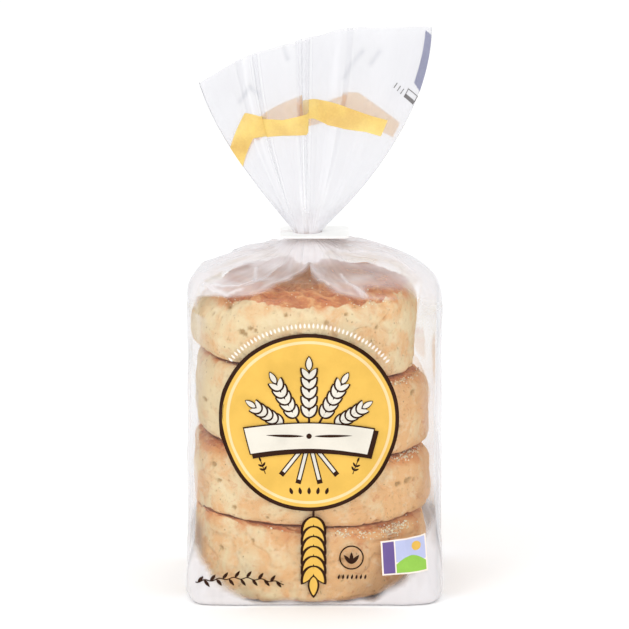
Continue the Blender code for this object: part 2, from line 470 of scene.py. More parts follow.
def muffin_material(s):
    """Cream dough with warm and floury patches, bran and olive smudges, a tan rim and a griddled crust.
    Painted shade darkens the open bubbles and a patch low on the lowest muffin's left, and painted highlight
    and shade follow the top's welts.
    """
    g = Graph("muffin")
    where = g.place()
    fine = g.noise(where, 0.0026, 4, 0.65)
    grit = g.noise(where, 0.0008, 2, 0.6)
    crust, rim, pit, tone, welt, dull = map(g.value, ("crust", "rim", "pit", "tone", "welt", "dull"))
    warmth = (g.noise(where, 0.0095, 3, 0.55, 0.4) + tone * 0.6).above(0.42, 0.78)
    side = g.colours(warmth, s.dough, s.dough_warm)
    floury = g.noise(where, 0.0050, 4, 0.68).above(0.52, 0.70)
    side = g.colours(floury * 0.36, side, s.flour)
    rosy = g.noise(g.place((1, 1, 1.3)), 0.0047, 3, 0.6, 0.5).above(0.58, 0.74)
    side = g.colours(rosy * (tone * 1.6 + 0.14), side, linear(216, 148, 100))
    tan = (rim + (fine - 0.5) * 0.8 + (grit - 0.5) * 0.3).above(0.12, 1.0)
    side = g.colours(tan * 0.85, side, s.rim)
    cluster = g.noise(where, 0.014, 2).above(0.42, 0.62)
    smudge = g.noise(where, 0.0021, 3, 0.7, 0.8).above(0.60, 0.72) * cluster
    side = g.colours(smudge * 0.70, side, s.bran)
    own = g.node("ShaderNodeSeparateColor", {}, {0: g.specks(where, 0.0019, output="Color")})
    speck = (g.specks(where, 0.0019) + (grit - 0.5) * 0.5).above(0.26, 0.06) * own.above(0.78, 0.90)
    side = g.colours(speck * 0.62, side, linear(140, 96, 50))
    # Painted shade: the dough is darkened inside the open bubbles and pores.
    side = g.colours(pit.maths("MINIMUM", pit * 0.6, 0.85), side, linear(172, 136, 84))
    # Painted shadow: a grey-brown patch low on the lowest muffin's left, where it stands in shade.
    side = g.colours(dull * 0.75, side, linear(158, 122, 96))
    mottle = g.noise(where, 0.0052, 5, 0.72, 0.9)
    stops = [(0.37, s.scorch), (0.44, s.crust), (0.53, linear(218, 144, 90)), (0.61, s.crust_pale)]
    brown = g.ramp(mottle * 0.62 + fine * 0.26 + grit * 0.12 + tone * 0.22, stops)
    golden = g.noise(g.place((0.7, 1.2, 1)), 0.0034, 4, 0.7, 1.2).above(0.56, 0.68)
    brown = g.colours(golden * 0.65, brown, linear(240, 176, 104))
    char = g.noise(where, 0.0029, 3, 0.7, 0.5).above(0.60, 0.72)
    brown = g.colours(char * 0.45, brown, linear(140, 70, 48))
    # Painted highlight on the welts' crests and painted shade in the hollows between them, since the soft
    # light hardly shades the top's relief.
    brown = g.colours(welt.above(0.72, 0.98) * 0.6, brown, linear(242, 182, 126))
    brown = g.colours(welt.above(0.36, 0.05) * 0.25, brown, linear(164, 90, 60))
    dust = (g.noise(where, 0.0013, 3, 0.7) * 0.6 + g.noise(where, 0.009, 2) * 0.4).above(0.57, 0.67)
    brown = g.colours(dust * 0.25, brown, linear(244, 206, 160))
    edge = (crust + (fine - 0.5) * 1.3 + (grit - 0.5) * 0.5).above(0.32, 0.72)
    colour = g.colours(edge, side, brown)
    dough_height = fine * 0.42 + grit * 0.14 + g.noise(where, 0.0055, 3) * 0.6 - smudge * 0.12
    height = dough_height + edge * (mottle * 0.9 + fine * 0.5 + golden * 0.3 - 0.8)
    roughness = 0.88 - edge * 0.30
    return g.done(g.surface(colour, roughness, g.bump(height, 0.0012, 0.8), Specular_IOR_Level=0.3))


def meal_material(name, pale, dark):
    """Grains whose colour goes from pale to toasted by a number that each one carries."""
    g = Graph(name)
    where = g.place()
    own = g.value("tone")
    colour = g.colours((own + (g.noise(where, 0.0004) - 0.5) * 0.4).above(0.55, 1.05), pale, dark)
    return g.done(g.surface(colour, 0.55, g.bump(g.noise(where, 0.0003), 0.0001, 0.5)))


def film_material(s):
    """Clear film: see-through where it lies on the muffins, milky where it stands free or is gathered, with
    painted grey shade and reflections in its folds and creases, and mirroring more at a glancing angle. The
    fan is more even, lets more light through and has a little painted grey shade all over."""
    g = Graph("film")
    where = g.place()
    fan, haze = g.value("fan"), g.value("haze")
    streaks = g.noise(g.place((1, 1, 0.4)), 0.009, 2, 0.5)
    slant = g.node("ShaderNodeLayerWeight", {}, {"Blend": 0.5}, "Facing")
    uneven = (streaks - 0.5) * (fan * -0.40 + 0.50) + 1.0
    milk = haze * uneven + slant**4.0 * haze.above(0.03, 0.12) * 0.50
    crease = g.bump(g.noise(where, 0.009, 3, 0.55) * 0.7 + streaks * 0.4, 0.0006, 0.25)
    clear = g.node("ShaderNodeBsdfTransparent", {}, {"Color": (0.99, 0.99, 0.993, 1)})
    cloud = g.noise(g.place((1, 1, 0.45)), 0.010, 3, 0.6).above(0.45, 0.75)
    # Painted shade and reflections: the milk is greyed along the folds and creases that the shade marks, and
    # a little all over the fan.
    tint = g.colours((cloud * 0.5 + 0.6) * g.value("shade") + fan * 0.13, s.tint, s.crease)
    front_lit = g.surface(tint, 0.5, crease, Specular_IOR_Level=0.1)
    back_lit = g.node("ShaderNodeBsdfTranslucent", {}, {"Color": tint, "Normal": crease})
    milky = g.blend_shaders(fan * 0.26 + 0.24, front_lit, back_lit)
    polish = {"Color": (0.90, 0.91, 0.93, 1), "Roughness": s.gloss, "Normal": crease}
    shine = g.node("ShaderNodeBsdfGlossy", {}, polish)
    body = g.blend_shaders(milk.maths("MINIMUM", milk, 0.95), clear, milky)
    mirror = g.node("ShaderNodeFresnel", {}, {"IOR": 1.42, "Normal": crease})
    mirror = mirror * (haze.above(0.03, 0.20) * 0.65 + 0.45)
    return g.done(g.blend_shaders(mirror.maths("MINIMUM", mirror, 0.7), body, shine))


def ink_material(name, colour, solid=1.0, through=0.0, uneven=0.0):
    """Ink on film: nearly even, faintly mottled, with the film's soft shine over it. A thin ink also lets a
    share of the light through, and is more uneven."""
    g = Graph(name)
    where = g.place()
    mottle = g.noise(where, 0.013, 2, 0.5)
    grain = g.noise(where, 0.0009, 2, 0.6)
    pale = tuple(min(1.0, c * (1.05 + uneven) + 0.006 + 0.3 * uneven) for c in colour)
    deep = tuple(c * (0.93 - 0.5 * uneven) for c in colour)
    shade = g.colours((mottle * 0.85 + grain * 0.15).above(0.3, 0.7), deep, pale)
    crease = g.bump(g.noise(g.place((1, 1, 0.3)), 0.005, 3, 0.6), 0.0005, 0.25)
    ink = g.surface(shade, 0.42 + (mottle - 0.5) * 0.1, crease, Specular_IOR_Level=0.08)
    if through:
        lit = g.node("ShaderNodeBsdfTranslucent", {}, {"Color": shade, "Normal": crease})
        ink = g.blend_shaders(through, ink, lit)
    if solid < 1:
        clear = g.node("ShaderNodeBsdfTransparent", {}, {"Color": (1, 1, 1, 1)})
        ink = g.blend_shaders(solid + (grain - 0.5) * 0.08, clear, ink)
    return g.done(ink)


def clip_material(s):
    """Moulded white plastic with the faint grain of its tool."""
    g = Graph("clip_plastic")
    where = g.place()
    cloud = g.noise(where, 0.004, 3)
    colour = g.colours(cloud.above(0.3, 0.7), tuple(c * 0.96 for c in s.plastic), s.plastic)
    bump = g.bump(g.noise(where, 0.0005, 2), 0.00006, 0.4)
    return g.done(g.surface(colour, 0.32 + cloud * 0.14, bump))


def floor_material(s):
    """A plain matt floor with a hardly visible unevenness."""
    g = Graph("floor_paper")
    cloud = g.noise(g.place(), 0.4, 3)
    colour = g.colours(cloud, tuple(c * 0.992 for c in s.floor), s.floor)
    return g.done(g.surface(colour, 0.9, Specular_IOR_Level=0.1))


# ---------------------------------------------------------------- muffins

# Where one muffin meets the next, from the floor up: the height on the axis, the slope to the right, and how
# far it rises at SEAM_REACH on either side
SEAMS = (
    (0.0006, 0.0, 0.0),
    (0.0325, -0.018, 0.0008),
    (0.0605, -0.070, 0.0),
    (0.0938, -0.105, 0.0),
    (0.1253, -0.005, 0.0),
)
SEAM_REACH = 0.034
SEAM_WAVE = 0.0009
SEAM_GAP = 0.00012
TOP_CROWN = 0.0016
# How far the dough keeps from the film at the sides and at the front and back, and how softly it bends there
SIDE_GAP = 0.0012
FRONT_GAP = 0.0005
PRESS_SOFTNESS = 0.0005

# A muffin: its middle, half width and half depth, how square its plan is (2 is an ellipse), both rims (how
# far in and how far up or down they round, and how many times that at the left and right), how far its foot
# draws in at the right, how warm its dough is at the left and how much warmer at the right, the height of its
# crust's edge as a share, how far that sways round the muffin, and the direction in which it comes lowest, in
# degrees from the right (the front is 270)
Muffin = collections.namedtuple(
    "Muffin",
    "middle half_width half_depth square low_in low_up low_left low_right high_in high_up high_left"
    " high_right tuck tone warmer crust_edge sway lowest seed",
)
MUFFINS = (
    Muffin(
        -0.0018, 0.0472, 0.0480, 2.35, 0.0030, 0.0030, 1.5, 1.5, 0.0038, 0.0034, 0.3, 1.3,
        0.0085, 0.18, 0.40, 0.98, 0.065, 325, 11,
    ),
    Muffin(
        -0.0016, 0.0483, 0.0478, 2.20, 0.0036, 0.0034, 0.3, 1.0, 0.0050, 0.0056, 1.0, 1.2,
        0.0, 0.19, 0.22, 0.99, 0.034, 205, 23,
    ),
    Muffin(
        -0.0012, 0.0473, 0.0476, 2.15, 0.0048, 0.0050, 1.0, 1.0, 0.0046, 0.0050, 1.0, 2.1,
        0.0, -0.06, 0.46, 1.05, 0.030, 330, 37,
    ),
    Muffin(
        -0.0047, 0.0459, 0.0476, 2.10, 0.0044, 0.0050, 1.0, 0.5, 0.0066, 0.0080, 3.0, 0.8,
        0.0, 0.00, 0.07, 1.03, 0.060, 292, 41,
    ),
)
# Open bubbles in the fronts: the muffin, the place across and up, and the size
CRATERS = (
    (3, -0.0294, 0.1122, 0.0015), (3, -0.0278, 0.1112, 0.0012), (3, -0.0257, 0.1137, 0.0013),
    (3, -0.0238, 0.1132, 0.0010), (3, -0.0343, 0.1205, 0.0013), (3, 0.0127, 0.1196, 0.0008),
    (3, 0.0253, 0.1129, 0.0009), (3, -0.0114, 0.1200, 0.0008), (3, -0.0415, 0.1170, 0.0008),
    (2, -0.0440, 0.0800, 0.0010), (2, 0.0400, 0.0835, 0.0010),
    (1, -0.0408, 0.0548, 0.0014), (1, -0.0389, 0.0486, 0.0010), (1, -0.0327, 0.0388, 0.0011),
    (1, 0.0347, 0.0472, 0.0012), (1, 0.0384, 0.0478, 0.0014), (1, -0.0190, 0.0360, 0.0009),
    (0, -0.0250, 0.0262, 0.0009), (0, 0.0110, 0.0120, 0.0010), (0, -0.0380, 0.0210, 0.0010),
)
FORWARD = -0.0012
MUFFIN_TURNS = 560
FACE_ROWS = 34
RIM_ROWS = 22
SIDE_ROWS = 60


def muffin_profile(kind, height, turn):
    """From the middle of the bottom to the middle of the top, in each direction: out along a face, round a
    rim by a quarter ellipse, up the side, round the other rim and in. Gives each row's share of the radius
    and of the height, and which way it faces."""
    face = np.sqrt(np.linspace(0, 1, FACE_ROWS + 1)[1:])[:, None]
    quarter = np.linspace(0, math.pi / 2, RIM_ROWS + 1)[1:, None]
    bend = quarter - quarter[0]
    left, right = smooth(0.35, 0.95, -np.cos(turn)), smooth(0.35, 0.95, np.cos(turn))
    low = 1 + (kind.low_left - 1) * left + (kind.low_right - 1) * right
    high = 1 + (kind.high_left - 1) * left + (kind.high_right - 1) * right
    low_in, high_in = kind.low_in / kind.half_width * low, kind.high_in / kind.half_width * high
    low_up, high_up = kind.low_up / height * low, kind.high_up / height * high
    side = np.linspace(0, 1, SIDE_ROWS + 1)[1:-1, None]
    out = np.concatenate([
        (1 - low_in) * face,
        1 - low_in + low_in * np.sin(quarter),
        np.ones_like(side) + 0 * turn,
        1 - high_in + high_in * np.cos(bend),
        (1 - high_in) * face[::-1],
    ])
    up = np.concatenate([
        np.zeros_like(face) + 0 * turn,
        low_up * (1 - np.cos(quarter)),
        low_up + side * (1 - low_up - high_up),
        1 - high_up + high_up * np.sin(bend),
        np.ones_like(face) + 0 * turn,
    ])
    flat = np.full_like(face, math.pi / 2)
    tilt = np.concatenate([-flat, quarter - math.pi / 2, np.zeros_like(side), bend, flat])
    return out, up, tilt


def seam_height(index, x, y):
    """A seam's height: a slanted plane, cupped across, with a slow wave, so that the muffins lie in each
    other."""
    height, slope, cup = SEAMS[index]
    is_inner = 0 < index < len(SEAMS) - 1
    wave = SEAM_WAVE * noise(together(x, y, 0), SEAM_REACH, 300 + index) if is_inner else 0
    return height + slope * x + cup * (x / SEAM_REACH) ** 2 + wave


def dough_relief(points, s, seed):
    """How far the dough stands out: broad and small lumps, less creases where ridged noise peaks, less open
    bubbles and pores at scattered points. Also gives the mask of the bubbles."""
    lumps = s.lumps * layered(points, 0.021, seed, 2)
    lumps = lumps + 0.00045 * noise(points, 0.0068, seed + 2) + 0.00018 * noise(points, 0.0027, seed + 3)
    creased = ridges(points * np.array([1, 1, 1.6]), 0.0115, seed + 4)
    where = smooth(-0.25, 0.35, noise(points, 0.022, seed + 5))
    creases = s.wrinkles * smooth(0.55, 1.0, creased) * where
    far, number = cells(points, 0.0075, seed + 6)
    pits = smooth(0.24, 0.06, far + 0.10 * noise(points, 0.002, seed + 8)) * (number > 0.80)
    near, own = cells(points, 0.0024, seed + 7)
    pores = smooth(0.42, 0.12, near) * (own > 0.62)
    return lumps - creases - s.pits * pits - 0.00026 * pores, np.maximum(pits, 0.4 * pores)


def top_relief(x, y, seed):
    """The griddled top: slow swells, low welts where ridged noise peaks, and shallow blisters. Also gives how
    near each place is to a welt's crest."""
    flat = together(x, y * 0.75, 0)
    welts = ridges(flat + 0.002 * together(noise(flat, 0.008, seed + 1), 0, 0), 0.0082, seed + 2)
    blisters = cells(flat, 0.0052, seed + 3)[0]
    relief = 0.0011 * noise(flat, 0.017, seed) + 0.0010 * (welts**2 - 0.4)
    relief = relief + 0.0005 * noise(flat, 0.0036, seed + 4)
    return relief - 0.0006 * smooth(0.5, 0.15, blisters), welts


# How square the body's plan is at the shoulder (2 is an ellipse), and what is added towards the floor and at
# the foot, below FOOT_TOP
SHOULDER_SQUARE = 2.3
LOW_SQUARE = 2.6
FOOT_SQUARE = 5.0
FOOT_TOP = 0.026


def superellipse(turn, square, half_width=HALF_WIDTH, half_depth=HALF_DEPTH):
    """The distance from the axis to |x/a|^n + |y/b|^n = 1, in each direction."""
    across = np.abs(np.cos(turn) / half_width) ** square
    deep = np.abs(np.sin(turn) / half_depth) ** square
    return (across + deep) ** (-1 / square)


def squareness(z):
    """How square the body's plan is: nearly a box at the floor and nearly an ellipse at the shoulder."""
    low = (1 - np.clip(z / SHOULDER_Z, 0, 1)) ** 2.2
    return SHOULDER_SQUARE + LOW_SQUARE * low + FOOT_SQUARE * smooth(FOOT_TOP, 0.0, z)


def dome_at(z):
    """The angle up the top at each height, and the share of the body's radius that is left there."""
    rise = np.clip((z - SHOULDER_Z) / DOME_RISE, 0, DOME_RISE_USED)
    climb = np.arcsin(rise ** (DOME_SQUARE / 2))
    return climb, np.cos(climb) ** (2 / DOME_SQUARE)


def press_in(points):
    """Keeps the dough inside the film, and flattens it where the film presses on it: its distance from the
    axis bends over smoothly to the film's, less a small gap."""
    x, y, z = np.moveaxis(points, -1, 0)
    reach = np.hypot(x, y) + 1e-9
    turn = np.arctan2(y, x)
    film = superellipse(turn, squareness(z)) * dome_at(z)[1]
    limit = film - mix(SIDE_GAP, FRONT_GAP, np.sin(turn) ** 6)
    pressed = limit - PRESS_SOFTNESS * np.logaddexp(0, (limit - reach) / PRESS_SOFTNESS)
    return together(x * pressed / reach, y * pressed / reach, z)


def open_craters(index, points, relief, pits, seed):
    """Sinks the listed bubbles into a muffin's front, each with a ragged edge."""
    for owner, place, tall, size in CRATERS:
        if owner == index:
            apart = np.hypot(points[..., 0] - place, points[..., 2] - tall) / size
            hole = smooth(1.2, 0.4, apart + 0.5 * noise(points, 0.0011, seed)) * (points[..., 1] < 0)
            relief = relief - 0.6 * size * hole
            pits = np.maximum(pits, 1.4 * hole)
    return relief, pits


def muffin_surface(index, s):
    """A turned profile between two seams. Its radius wavers with the turn, its side bulges, and dough lumps,
    creases and open bubbles are added along the way it faces. Gives the points, the shader's masks, and how
    far each point is past the upper crust's edge."""
    kind = MUFFINS[index]
    seed = kind.seed
    turn = np.arange(MUFFIN_TURNS)[None, :] / MUFFIN_TURNS * 2 * math.pi
    out, up, tilt = muffin_profile(kind, SEAMS[index + 1][0] - SEAMS[index][0], turn)
    out, up, tilt, turn = np.broadcast_arrays(out, up, tilt, turn)
    circle = turned(turn, up=up * 0.8)
    plan = superellipse(turn, kind.square, 1, 1)
    waver = 1 + 0.018 * noise(circle, 0.9, seed) + 0.012 * noise(circle, 0.35, seed + 1)
    bulge = 1 - 0.035 * (2 * up - 1) ** 2 * (0.8 + 1.0 * noise(circle, 1.3, seed + 2))
    to_right = np.maximum(np.cos(turn + 0.25), 0) ** 2.5
    bulge = bulge - kind.tuck / kind.half_width * smooth(0.50, 0.0, up) * to_right
    x = kind.middle + kind.half_width * out * plan * waver * bulge * np.cos(turn)
    y = FORWARD + kind.half_depth * out * plan * waver * bulge * np.sin(turn)
    low = seam_height(index, x, y) + SEAM_GAP
    high = seam_height(index + 1, x, y) - SEAM_GAP
    is_top = index == len(MUFFINS) - 1
    welt = np.full(up.shape, 0.5)
    if is_top:
        # How near each place is to a welt's crest, which the shader turns into painted highlight and shade.
        raised, welt = top_relief(x, y, seed + 3)
        high = high + TOP_CROWN * (1 - out**2) + raised
    points = together(x, y, low + (high - low) * up)
    relief, pits = open_craters(index, points, *dough_relief(points, s, seed + 20), seed + 31)
    on_face = smooth(0.80, 1.0, np.abs(np.sin(tilt)))
    pressed = on_face * (up < 0.5) if is_top else on_face
    relief = mix(relief, -0.0003, pressed)
    facing = turned(turn, np.cos(tilt), np.sin(tilt))
    points = press_in(points + relief[..., None] * facing)
    ragged = 0.035 * noise(points, 0.0125, seed + 11) + 0.035 * noise(points, 0.0042, seed + 12)
    inward = 0.9 * (1 - out)
    over = up + inward * (up > 0.5) + ragged
    line = kind.crust_edge - kind.sway * np.cos(turn - math.radians(kind.lowest))
    under = up - inward * (up < 0.5) + ragged
    crust = np.maximum(smooth(-0.035, 0.035, over - line), smooth(0.01, -0.04, under))
    x, y, z = np.moveaxis(points, -1, 0)
    # A painted shadow: the patch low on the lowest muffin's front left.
    dull = np.exp(-(((x + 0.0473) / 0.0022) ** 2) - ((z - 0.0215) / 0.0068) ** 4) * (index == 0) * (y < 0)
    patchy = 0.55 + 1.1 * noise(points, 0.009, seed + 13)
    rim = np.maximum(smooth(-0.27, 0.02, over - line) * patchy, smooth(0.12, -0.03, under) * 0.4 * patchy)
    warmer = kind.warmer * smooth(-0.020, 0.034, x) * smooth(1.0, 0.9, up)
    # On the top muffin the tone is raised round the neck, paling its crust there: painted light that makes up
    # for the shade of the neck and clip.
    warmer = warmer + 0.60 * smooth(0.034, 0.018, np.hypot(x - NECK_X, y)) * is_top
    values = {
        "crust": crust,
        "rim": np.clip(rim, 0, 1),
        "pit": pits * (1 - crust),
        "tone": kind.tone + warmer,
        "dull": dull,
        "welt": welt,
    }
    return points, values, np.where(up > 0.5, over - line, -1)


def put_muffin(index, s, material):
    """Closes the turned surface with a point at each pole."""
    points, values, past_edge = muffin_surface(index, s)
    rows, columns = points.shape[:2]
    poles = np.stack([points[0].mean(0), points[-1].mean(0)])
    first = rows * columns
    faces = [
        grid_faces(rows, columns, True),
        pole_faces(first, 0, columns, False),
        pole_faces(first + 1, first - columns, columns, True),
    ]
    all_values = {
        key: np.concatenate([value.ravel(), value[0, :1], value[-1, :1]]) for key, value in values.items()
    }
    all_points = np.concatenate([points.reshape(-1, 3), poles])
    name = f"muffin_{index + 1}"
    return put_mesh(name, all_points, faces, material, all_values), points, past_edge


# ---------------------------------------------------------------- grains

GOLDEN = (1 + math.sqrt(5)) / 2
ICOSAHEDRON = np.array([
    (-1, GOLDEN, 0), (1, GOLDEN, 0), (-1, -GOLDEN, 0), (1, -GOLDEN, 0),
    (0, -1, GOLDEN), (0, 1, GOLDEN), (0, -1, -GOLDEN), (0, 1, -GOLDEN),
    (GOLDEN, 0, -1), (GOLDEN, 0, 1), (-GOLDEN, 0, -1), (-GOLDEN, 0, 1),
]) / math.sqrt(1 + GOLDEN**2)
ICOSAHEDRON_FACES = np.array([
    (0, 11, 5), (0, 5, 1), (0, 1, 7), (0, 7, 10), (0, 10, 11), (1, 5, 9), (5, 11, 4), (11, 10, 2), (10, 7, 6),
    (7, 1, 8), (3, 9, 4), (3, 4, 2), (3, 2, 6), (3, 6, 8), (3, 8, 9), (4, 9, 5), (2, 4, 11), (6, 2, 10),
    (8, 6, 7), (9, 8, 1),
])


def random_turns(count, random):
    """Evenly random rotations, from random unit quaternions."""
    q = random.normal(size=(count, 4))
    w, x, y, z = (q / np.linalg.norm(q, axis=1, keepdims=True)).T
    return np.stack([
        together(1 - 2 * (y * y + z * z), 2 * (x * y - z * w), 2 * (x * z + y * w)),
        together(2 * (x * y + z * w), 1 - 2 * (x * x + z * z), 2 * (y * z - x * w)),
        together(2 * (x * z - y * w), 2 * (y * z + x * w), 1 - 2 * (x * x + y * y)),
    ], 1)


def put_bits(name, centres, sizes, flatness, random, material):
    """Many small lumps as one mesh: a twenty-sided shape each, roughened, squashed and turned at random."""
    count = len(centres)
    shape = ICOSAHEDRON[None] * (1 + 0.22 * random.normal(size=(count, 12, 1)))
    squash = together(np.ones(count), random.uniform(0.55, 0.95, count), flatness)
    shape = np.einsum("nij,nkj->nki", random_turns(count, random), shape * squash[:, None])
    points = centres[:, None] + shape * (sizes / 2)[:, None, None]
    faces = ICOSAHEDRON_FACES[None] + 12 * np.arange(count)[:, None, None]
    tone = np.repeat(random.uniform(0, 1, count), 12)
    return put_mesh(name, points.reshape(-1, 3), [faces.reshape(-1, 3)], material, {"tone": tone})


# Heaps of grains along each muffin's front rim: how dense, where across, and how wide
GRAIN_HEAPS = (
    ((9, 0.0115, 0.0030), (7, 0.0215, 0.0020), (12, 0.0320, 0.0042), (2, 0.0200, 0.0140)),
    ((6, 0.0370, 0.0050),),
    ((3, 0.0350, 0.0050),),
)


def scatter(surfaces, count, weigh, random):
    """Picks places on the muffins, each as likely as its area and weight, and gives them with the way out."""
    places, outward, weights = [], [], []
    for index, (points, past_edge) in enumerate(surfaces):
        along = np.gradient(points, axis=0)
        around = np.roll(points, -1, axis=1) - np.roll(points, 1, axis=1)
        facing = np.cross(around, along)
        area = np.linalg.norm(facing, axis=-1)
        places.append(points.reshape(-1, 3))
        outward.append((facing / (area[..., None] + 1e-12)).reshape(-1, 3))
        weights.append((area * weigh(index, points, past_edge)).ravel())
    places, outward, weights = np.concatenate(places), np.concatenate(outward), np.concatenate(weights)
    chosen = random.choice(len(places), size=count, replace=False, p=weights / weights.sum())
    return places[chosen], outward[chosen]


# ---------------------------------------------------------------- film


# Noise on a ring of this radius gives the film's folds, and the share of the height that counts makes them
# upright or slanting
FOLD_RING = 0.05
UPRIGHT = 0.13
SLANTING = 0.8


def upright_folds(turn, z):
    """The crests of the upright folds, from 0 to 1."""
    return ridges(turned(turn, FOLD_RING, z * UPRIGHT), 0.015, 501)


def upright_wrinkles(turn, z, s):
    """Broad upright folds and a few slanting creases, strongest at the bag's four corners and hardly any on
    its printed front."""
    tall = upright_folds(turn, z) ** 2 + 0.35 * noise(turned(turn, FOLD_RING, z * UPRIGHT), 0.0062, 502)
    cross = ridges(turned(turn, FOLD_RING, z * SLANTING), 0.030, 503) ** 5
    front = bell(turn - FRONT, 0.66)
    weight = (0.40 + 0.60 * np.sin(2 * turn) ** 2) * (1 - 0.92 * front)
    return s.wrinkle * weight * (tall - 0.5 + 0.7 * cross)


def stands_free(turn):
    """0 on the front and back, where the film lies on the muffins, and 1 at the sides."""
    return smooth(0.90, 0.985, np.abs(np.cos(turn)))


# How high the film is milky at the bottom corners, at distances from the middle
CORNER_AT = (0.008, 0.024, 0.0295, 0.0365, 0.0410, 0.0430, 0.0450, 0.0490, 0.0520)
CORNER_LEFT = (-0.002, -0.002, 0.0030, 0.0078, 0.0105, 0.0145, 0.0175, 0.0215, 0.0250)
CORNER_RIGHT = (-0.002, 0.0016, 0.0066, 0.0102, 0.0138, 0.0172, 0.0262, 0.0320, 0.0340)


FOOT_ROUND = 0.0030


def film_body(turn, z, s):
    """The upright part: a superellipse, squarer at the floor, rounded by a quarter circle at the bottom edge,
    drawn in at the seams, and wrinkled. Also gives its haze: little on the muffins, more at the sides, and
    most at the bottom corners and along the floor."""
    tuck = np.clip(1 - z / FOOT_ROUND, 0, 1)
    radius = superellipse(turn, squareness(z)) - FOOT_ROUND * (1 - np.sqrt(np.clip(1 - tuck**2, 0, 1)))
    seams = np.array([seam[0] for seam in SEAMS[1:-1]])
    drawn = bell(z[..., None] - seams, 0.006).sum(-1)
    radius = radius - 0.0006 * drawn * (0.3 + 0.7 * np.sin(turn) ** 2)
    radius = radius + upright_wrinkles(turn, z, s) - FILM_INSET
    points = turned(turn, radius, z)
    beside_left = np.interp(-points[..., 0], CORNER_AT, CORNER_LEFT)
    wide = np.where(points[..., 0] < 0, beside_left, np.interp(points[..., 0], CORNER_AT, CORNER_RIGHT))
    ragged = 0.0016 * noise(points, 0.009, 515)
    corner = smooth(0.0034, -0.0022, z - wide + ragged) * smooth(0.024, 0.042, np.abs(points[..., 1]))
    cloud = smooth(-0.3, 0.5, noise(points * np.array([1, 1, 0.5]), 0.013, 511))
    beside = np.maximum(stands_free(turn), 0.42 * smooth(0.0395, 0.0505, np.abs(points[..., 0])))
    haze = mix(s.clear, s.free * (0.45 + 0.55 * cloud), beside) + s.gathered * corner
    haze = haze + 0.62 * smooth(0.0036, 0.0008, z + ragged)
    haze = haze + 0.45 * side_streak(*np.moveaxis(points, -1, 0), points)
    return points, haze


# Grey crease marks painted on the fan as shade, with no fold in its shape: each a chain of places across and
# up
FAN_PAINTED_CREASES = (
    ((-0.0127, 0.2227), (-0.0110, 0.2172)),
    ((0.0122, 0.2081), (0.0151, 0.2139), (0.0192, 0.2193)),
    ((0.0229, 0.2147), (0.0261, 0.2197)),
    ((-0.0300, 0.1985), (-0.0262, 0.2040), (-0.0228, 0.2010)),
)


def side_streak(x, y, z, points):
    """A soft upright streak near the front's right edge, stronger and weaker up its height, with no fold in
    the
    shape: it makes the film milkier, and its grey is a painted reflection.
    """
    streak = bell(x - 0.0500 - 0.0004 * noise(points, 0.016, 514), 0.0008)
    strength = 0.55 + 0.45 * np.sin((z - 0.017) * 80)
    return streak * strength * smooth(0.0, -0.004, y) * smooth(0.130, 0.115, z)


def film_shade(points):
    """Where grey is painted into the film as shade and reflections: along the upright folds of its sides,
    along a streak near the front's right edge, and at the fan's few creases. The points are all on the fan or
    all below it."""
    x, y, z = np.moveaxis(points, -1, 0)
    if z.min() > NECK_HIGH_Z:
        return 0.55 * sum(bell(to_chain(x, z, chain), 0.0011) for chain in FAN_PAINTED_CREASES)
    turn = np.arctan2(y, x)
    folds = smooth(0.62, 0.95, upright_folds(turn, z)) * smooth(-0.3, 0.3, noise(points, 0.020, 512))
    folds = folds * smooth(0.55, 0.95, np.abs(np.cos(turn)))
    return folds * smooth(0.130, 0.115, z) + side_streak(x, y, z, points)


# The bare window on the top's front: its half angle in degrees at distances from the axis, on either side
WINDOW_AT = (0.0185, 0.0300, 0.0400, 0.0458, 0.0488, 0.0505, 0.0521)
WINDOW_LEFT = (0, 16, 22, 26, 34, 44, 66)
WINDOW_RIGHT = (0, 5, 9, 14, 25, 38, 58)


def past_window(turn, radius):
    """How far outside the front's bare window a place on the top is, in radians."""
    apart = turn - FRONT
    left, right = (np.interp(radius, WINDOW_AT, window) for window in (WINDOW_LEFT, WINDOW_RIGHT))
    half = np.where(apart > 0, right, left)
    return np.abs(apart) - np.radians(half) + 0.5 * smooth(0.0195, 0.0165, radius)


# Thin creases that cross the top: each a chain of places in plan
TOP_CREASES = (
    ((-0.0220, -0.0179), (-0.0233, -0.0314), (-0.0296, -0.0349), (-0.0358, -0.0317), (-0.0407, -0.0259)),
    ((-0.0444, -0.0203), (-0.0397, -0.0302), (-0.0344, -0.0366), (-0.0284, -0.0375)),
    ((0.0030, -0.0342), (0.0062, -0.0413)),
    ((0.0140, -0.0393), (0.0212, -0.0432)),
    ((0.0122, -0.0273), (0.0140, -0.0393), (0.0196, -0.0438)),
    ((0.0120, -0.0100), (0.0290, -0.0080), (0.0400, -0.0180)),
    ((-0.0080, 0.0160), (-0.0220, 0.0250), (-0.0320, 0.0290)),
    ((0.0070, 0.0150), (0.0120, 0.0280), (0.0260, 0.0370)),
)


# Clearer stretches of the top: how much clearer, how wide, and a chain of places in plan
TOP_CLEARINGS = (
    (0.92, 0.0024, ((0.0232, -0.0408), (0.0305, -0.0380), (0.0365, -0.0352), (0.0395, -0.0335))),
    (0.60, 0.0030, ((-0.0436, -0.0199), (-0.0403, -0.0189), (-0.0350, -0.0193), (-0.0262, -0.0160))),
    (0.85, 0.0022, ((0.0165, -0.0158), (0.0240, -0.0172))),
    (0.30, 0.0050, ((0.0103, -0.0220), (0.0184, -0.0243), (0.0264, -0.0323), (0.0345, -0.0329))),
)


def to_chain(x, y, chain):
    """The distance from each place to a chain of straight stretches."""
    best = np.full(np.broadcast(x, y).shape, 1.0)
    for (ax, ay), (bx, by) in zip(chain, chain[1:]):
        dx, dy = bx - ax, by - ay
        share = np.clip(((x - ax) * dx + (y - ay) * dy) / (dx * dx + dy * dy), 0, 1)
        best = np.minimum(best, np.hypot(x - ax - share * dx, y - ay - share * dy))
    return best


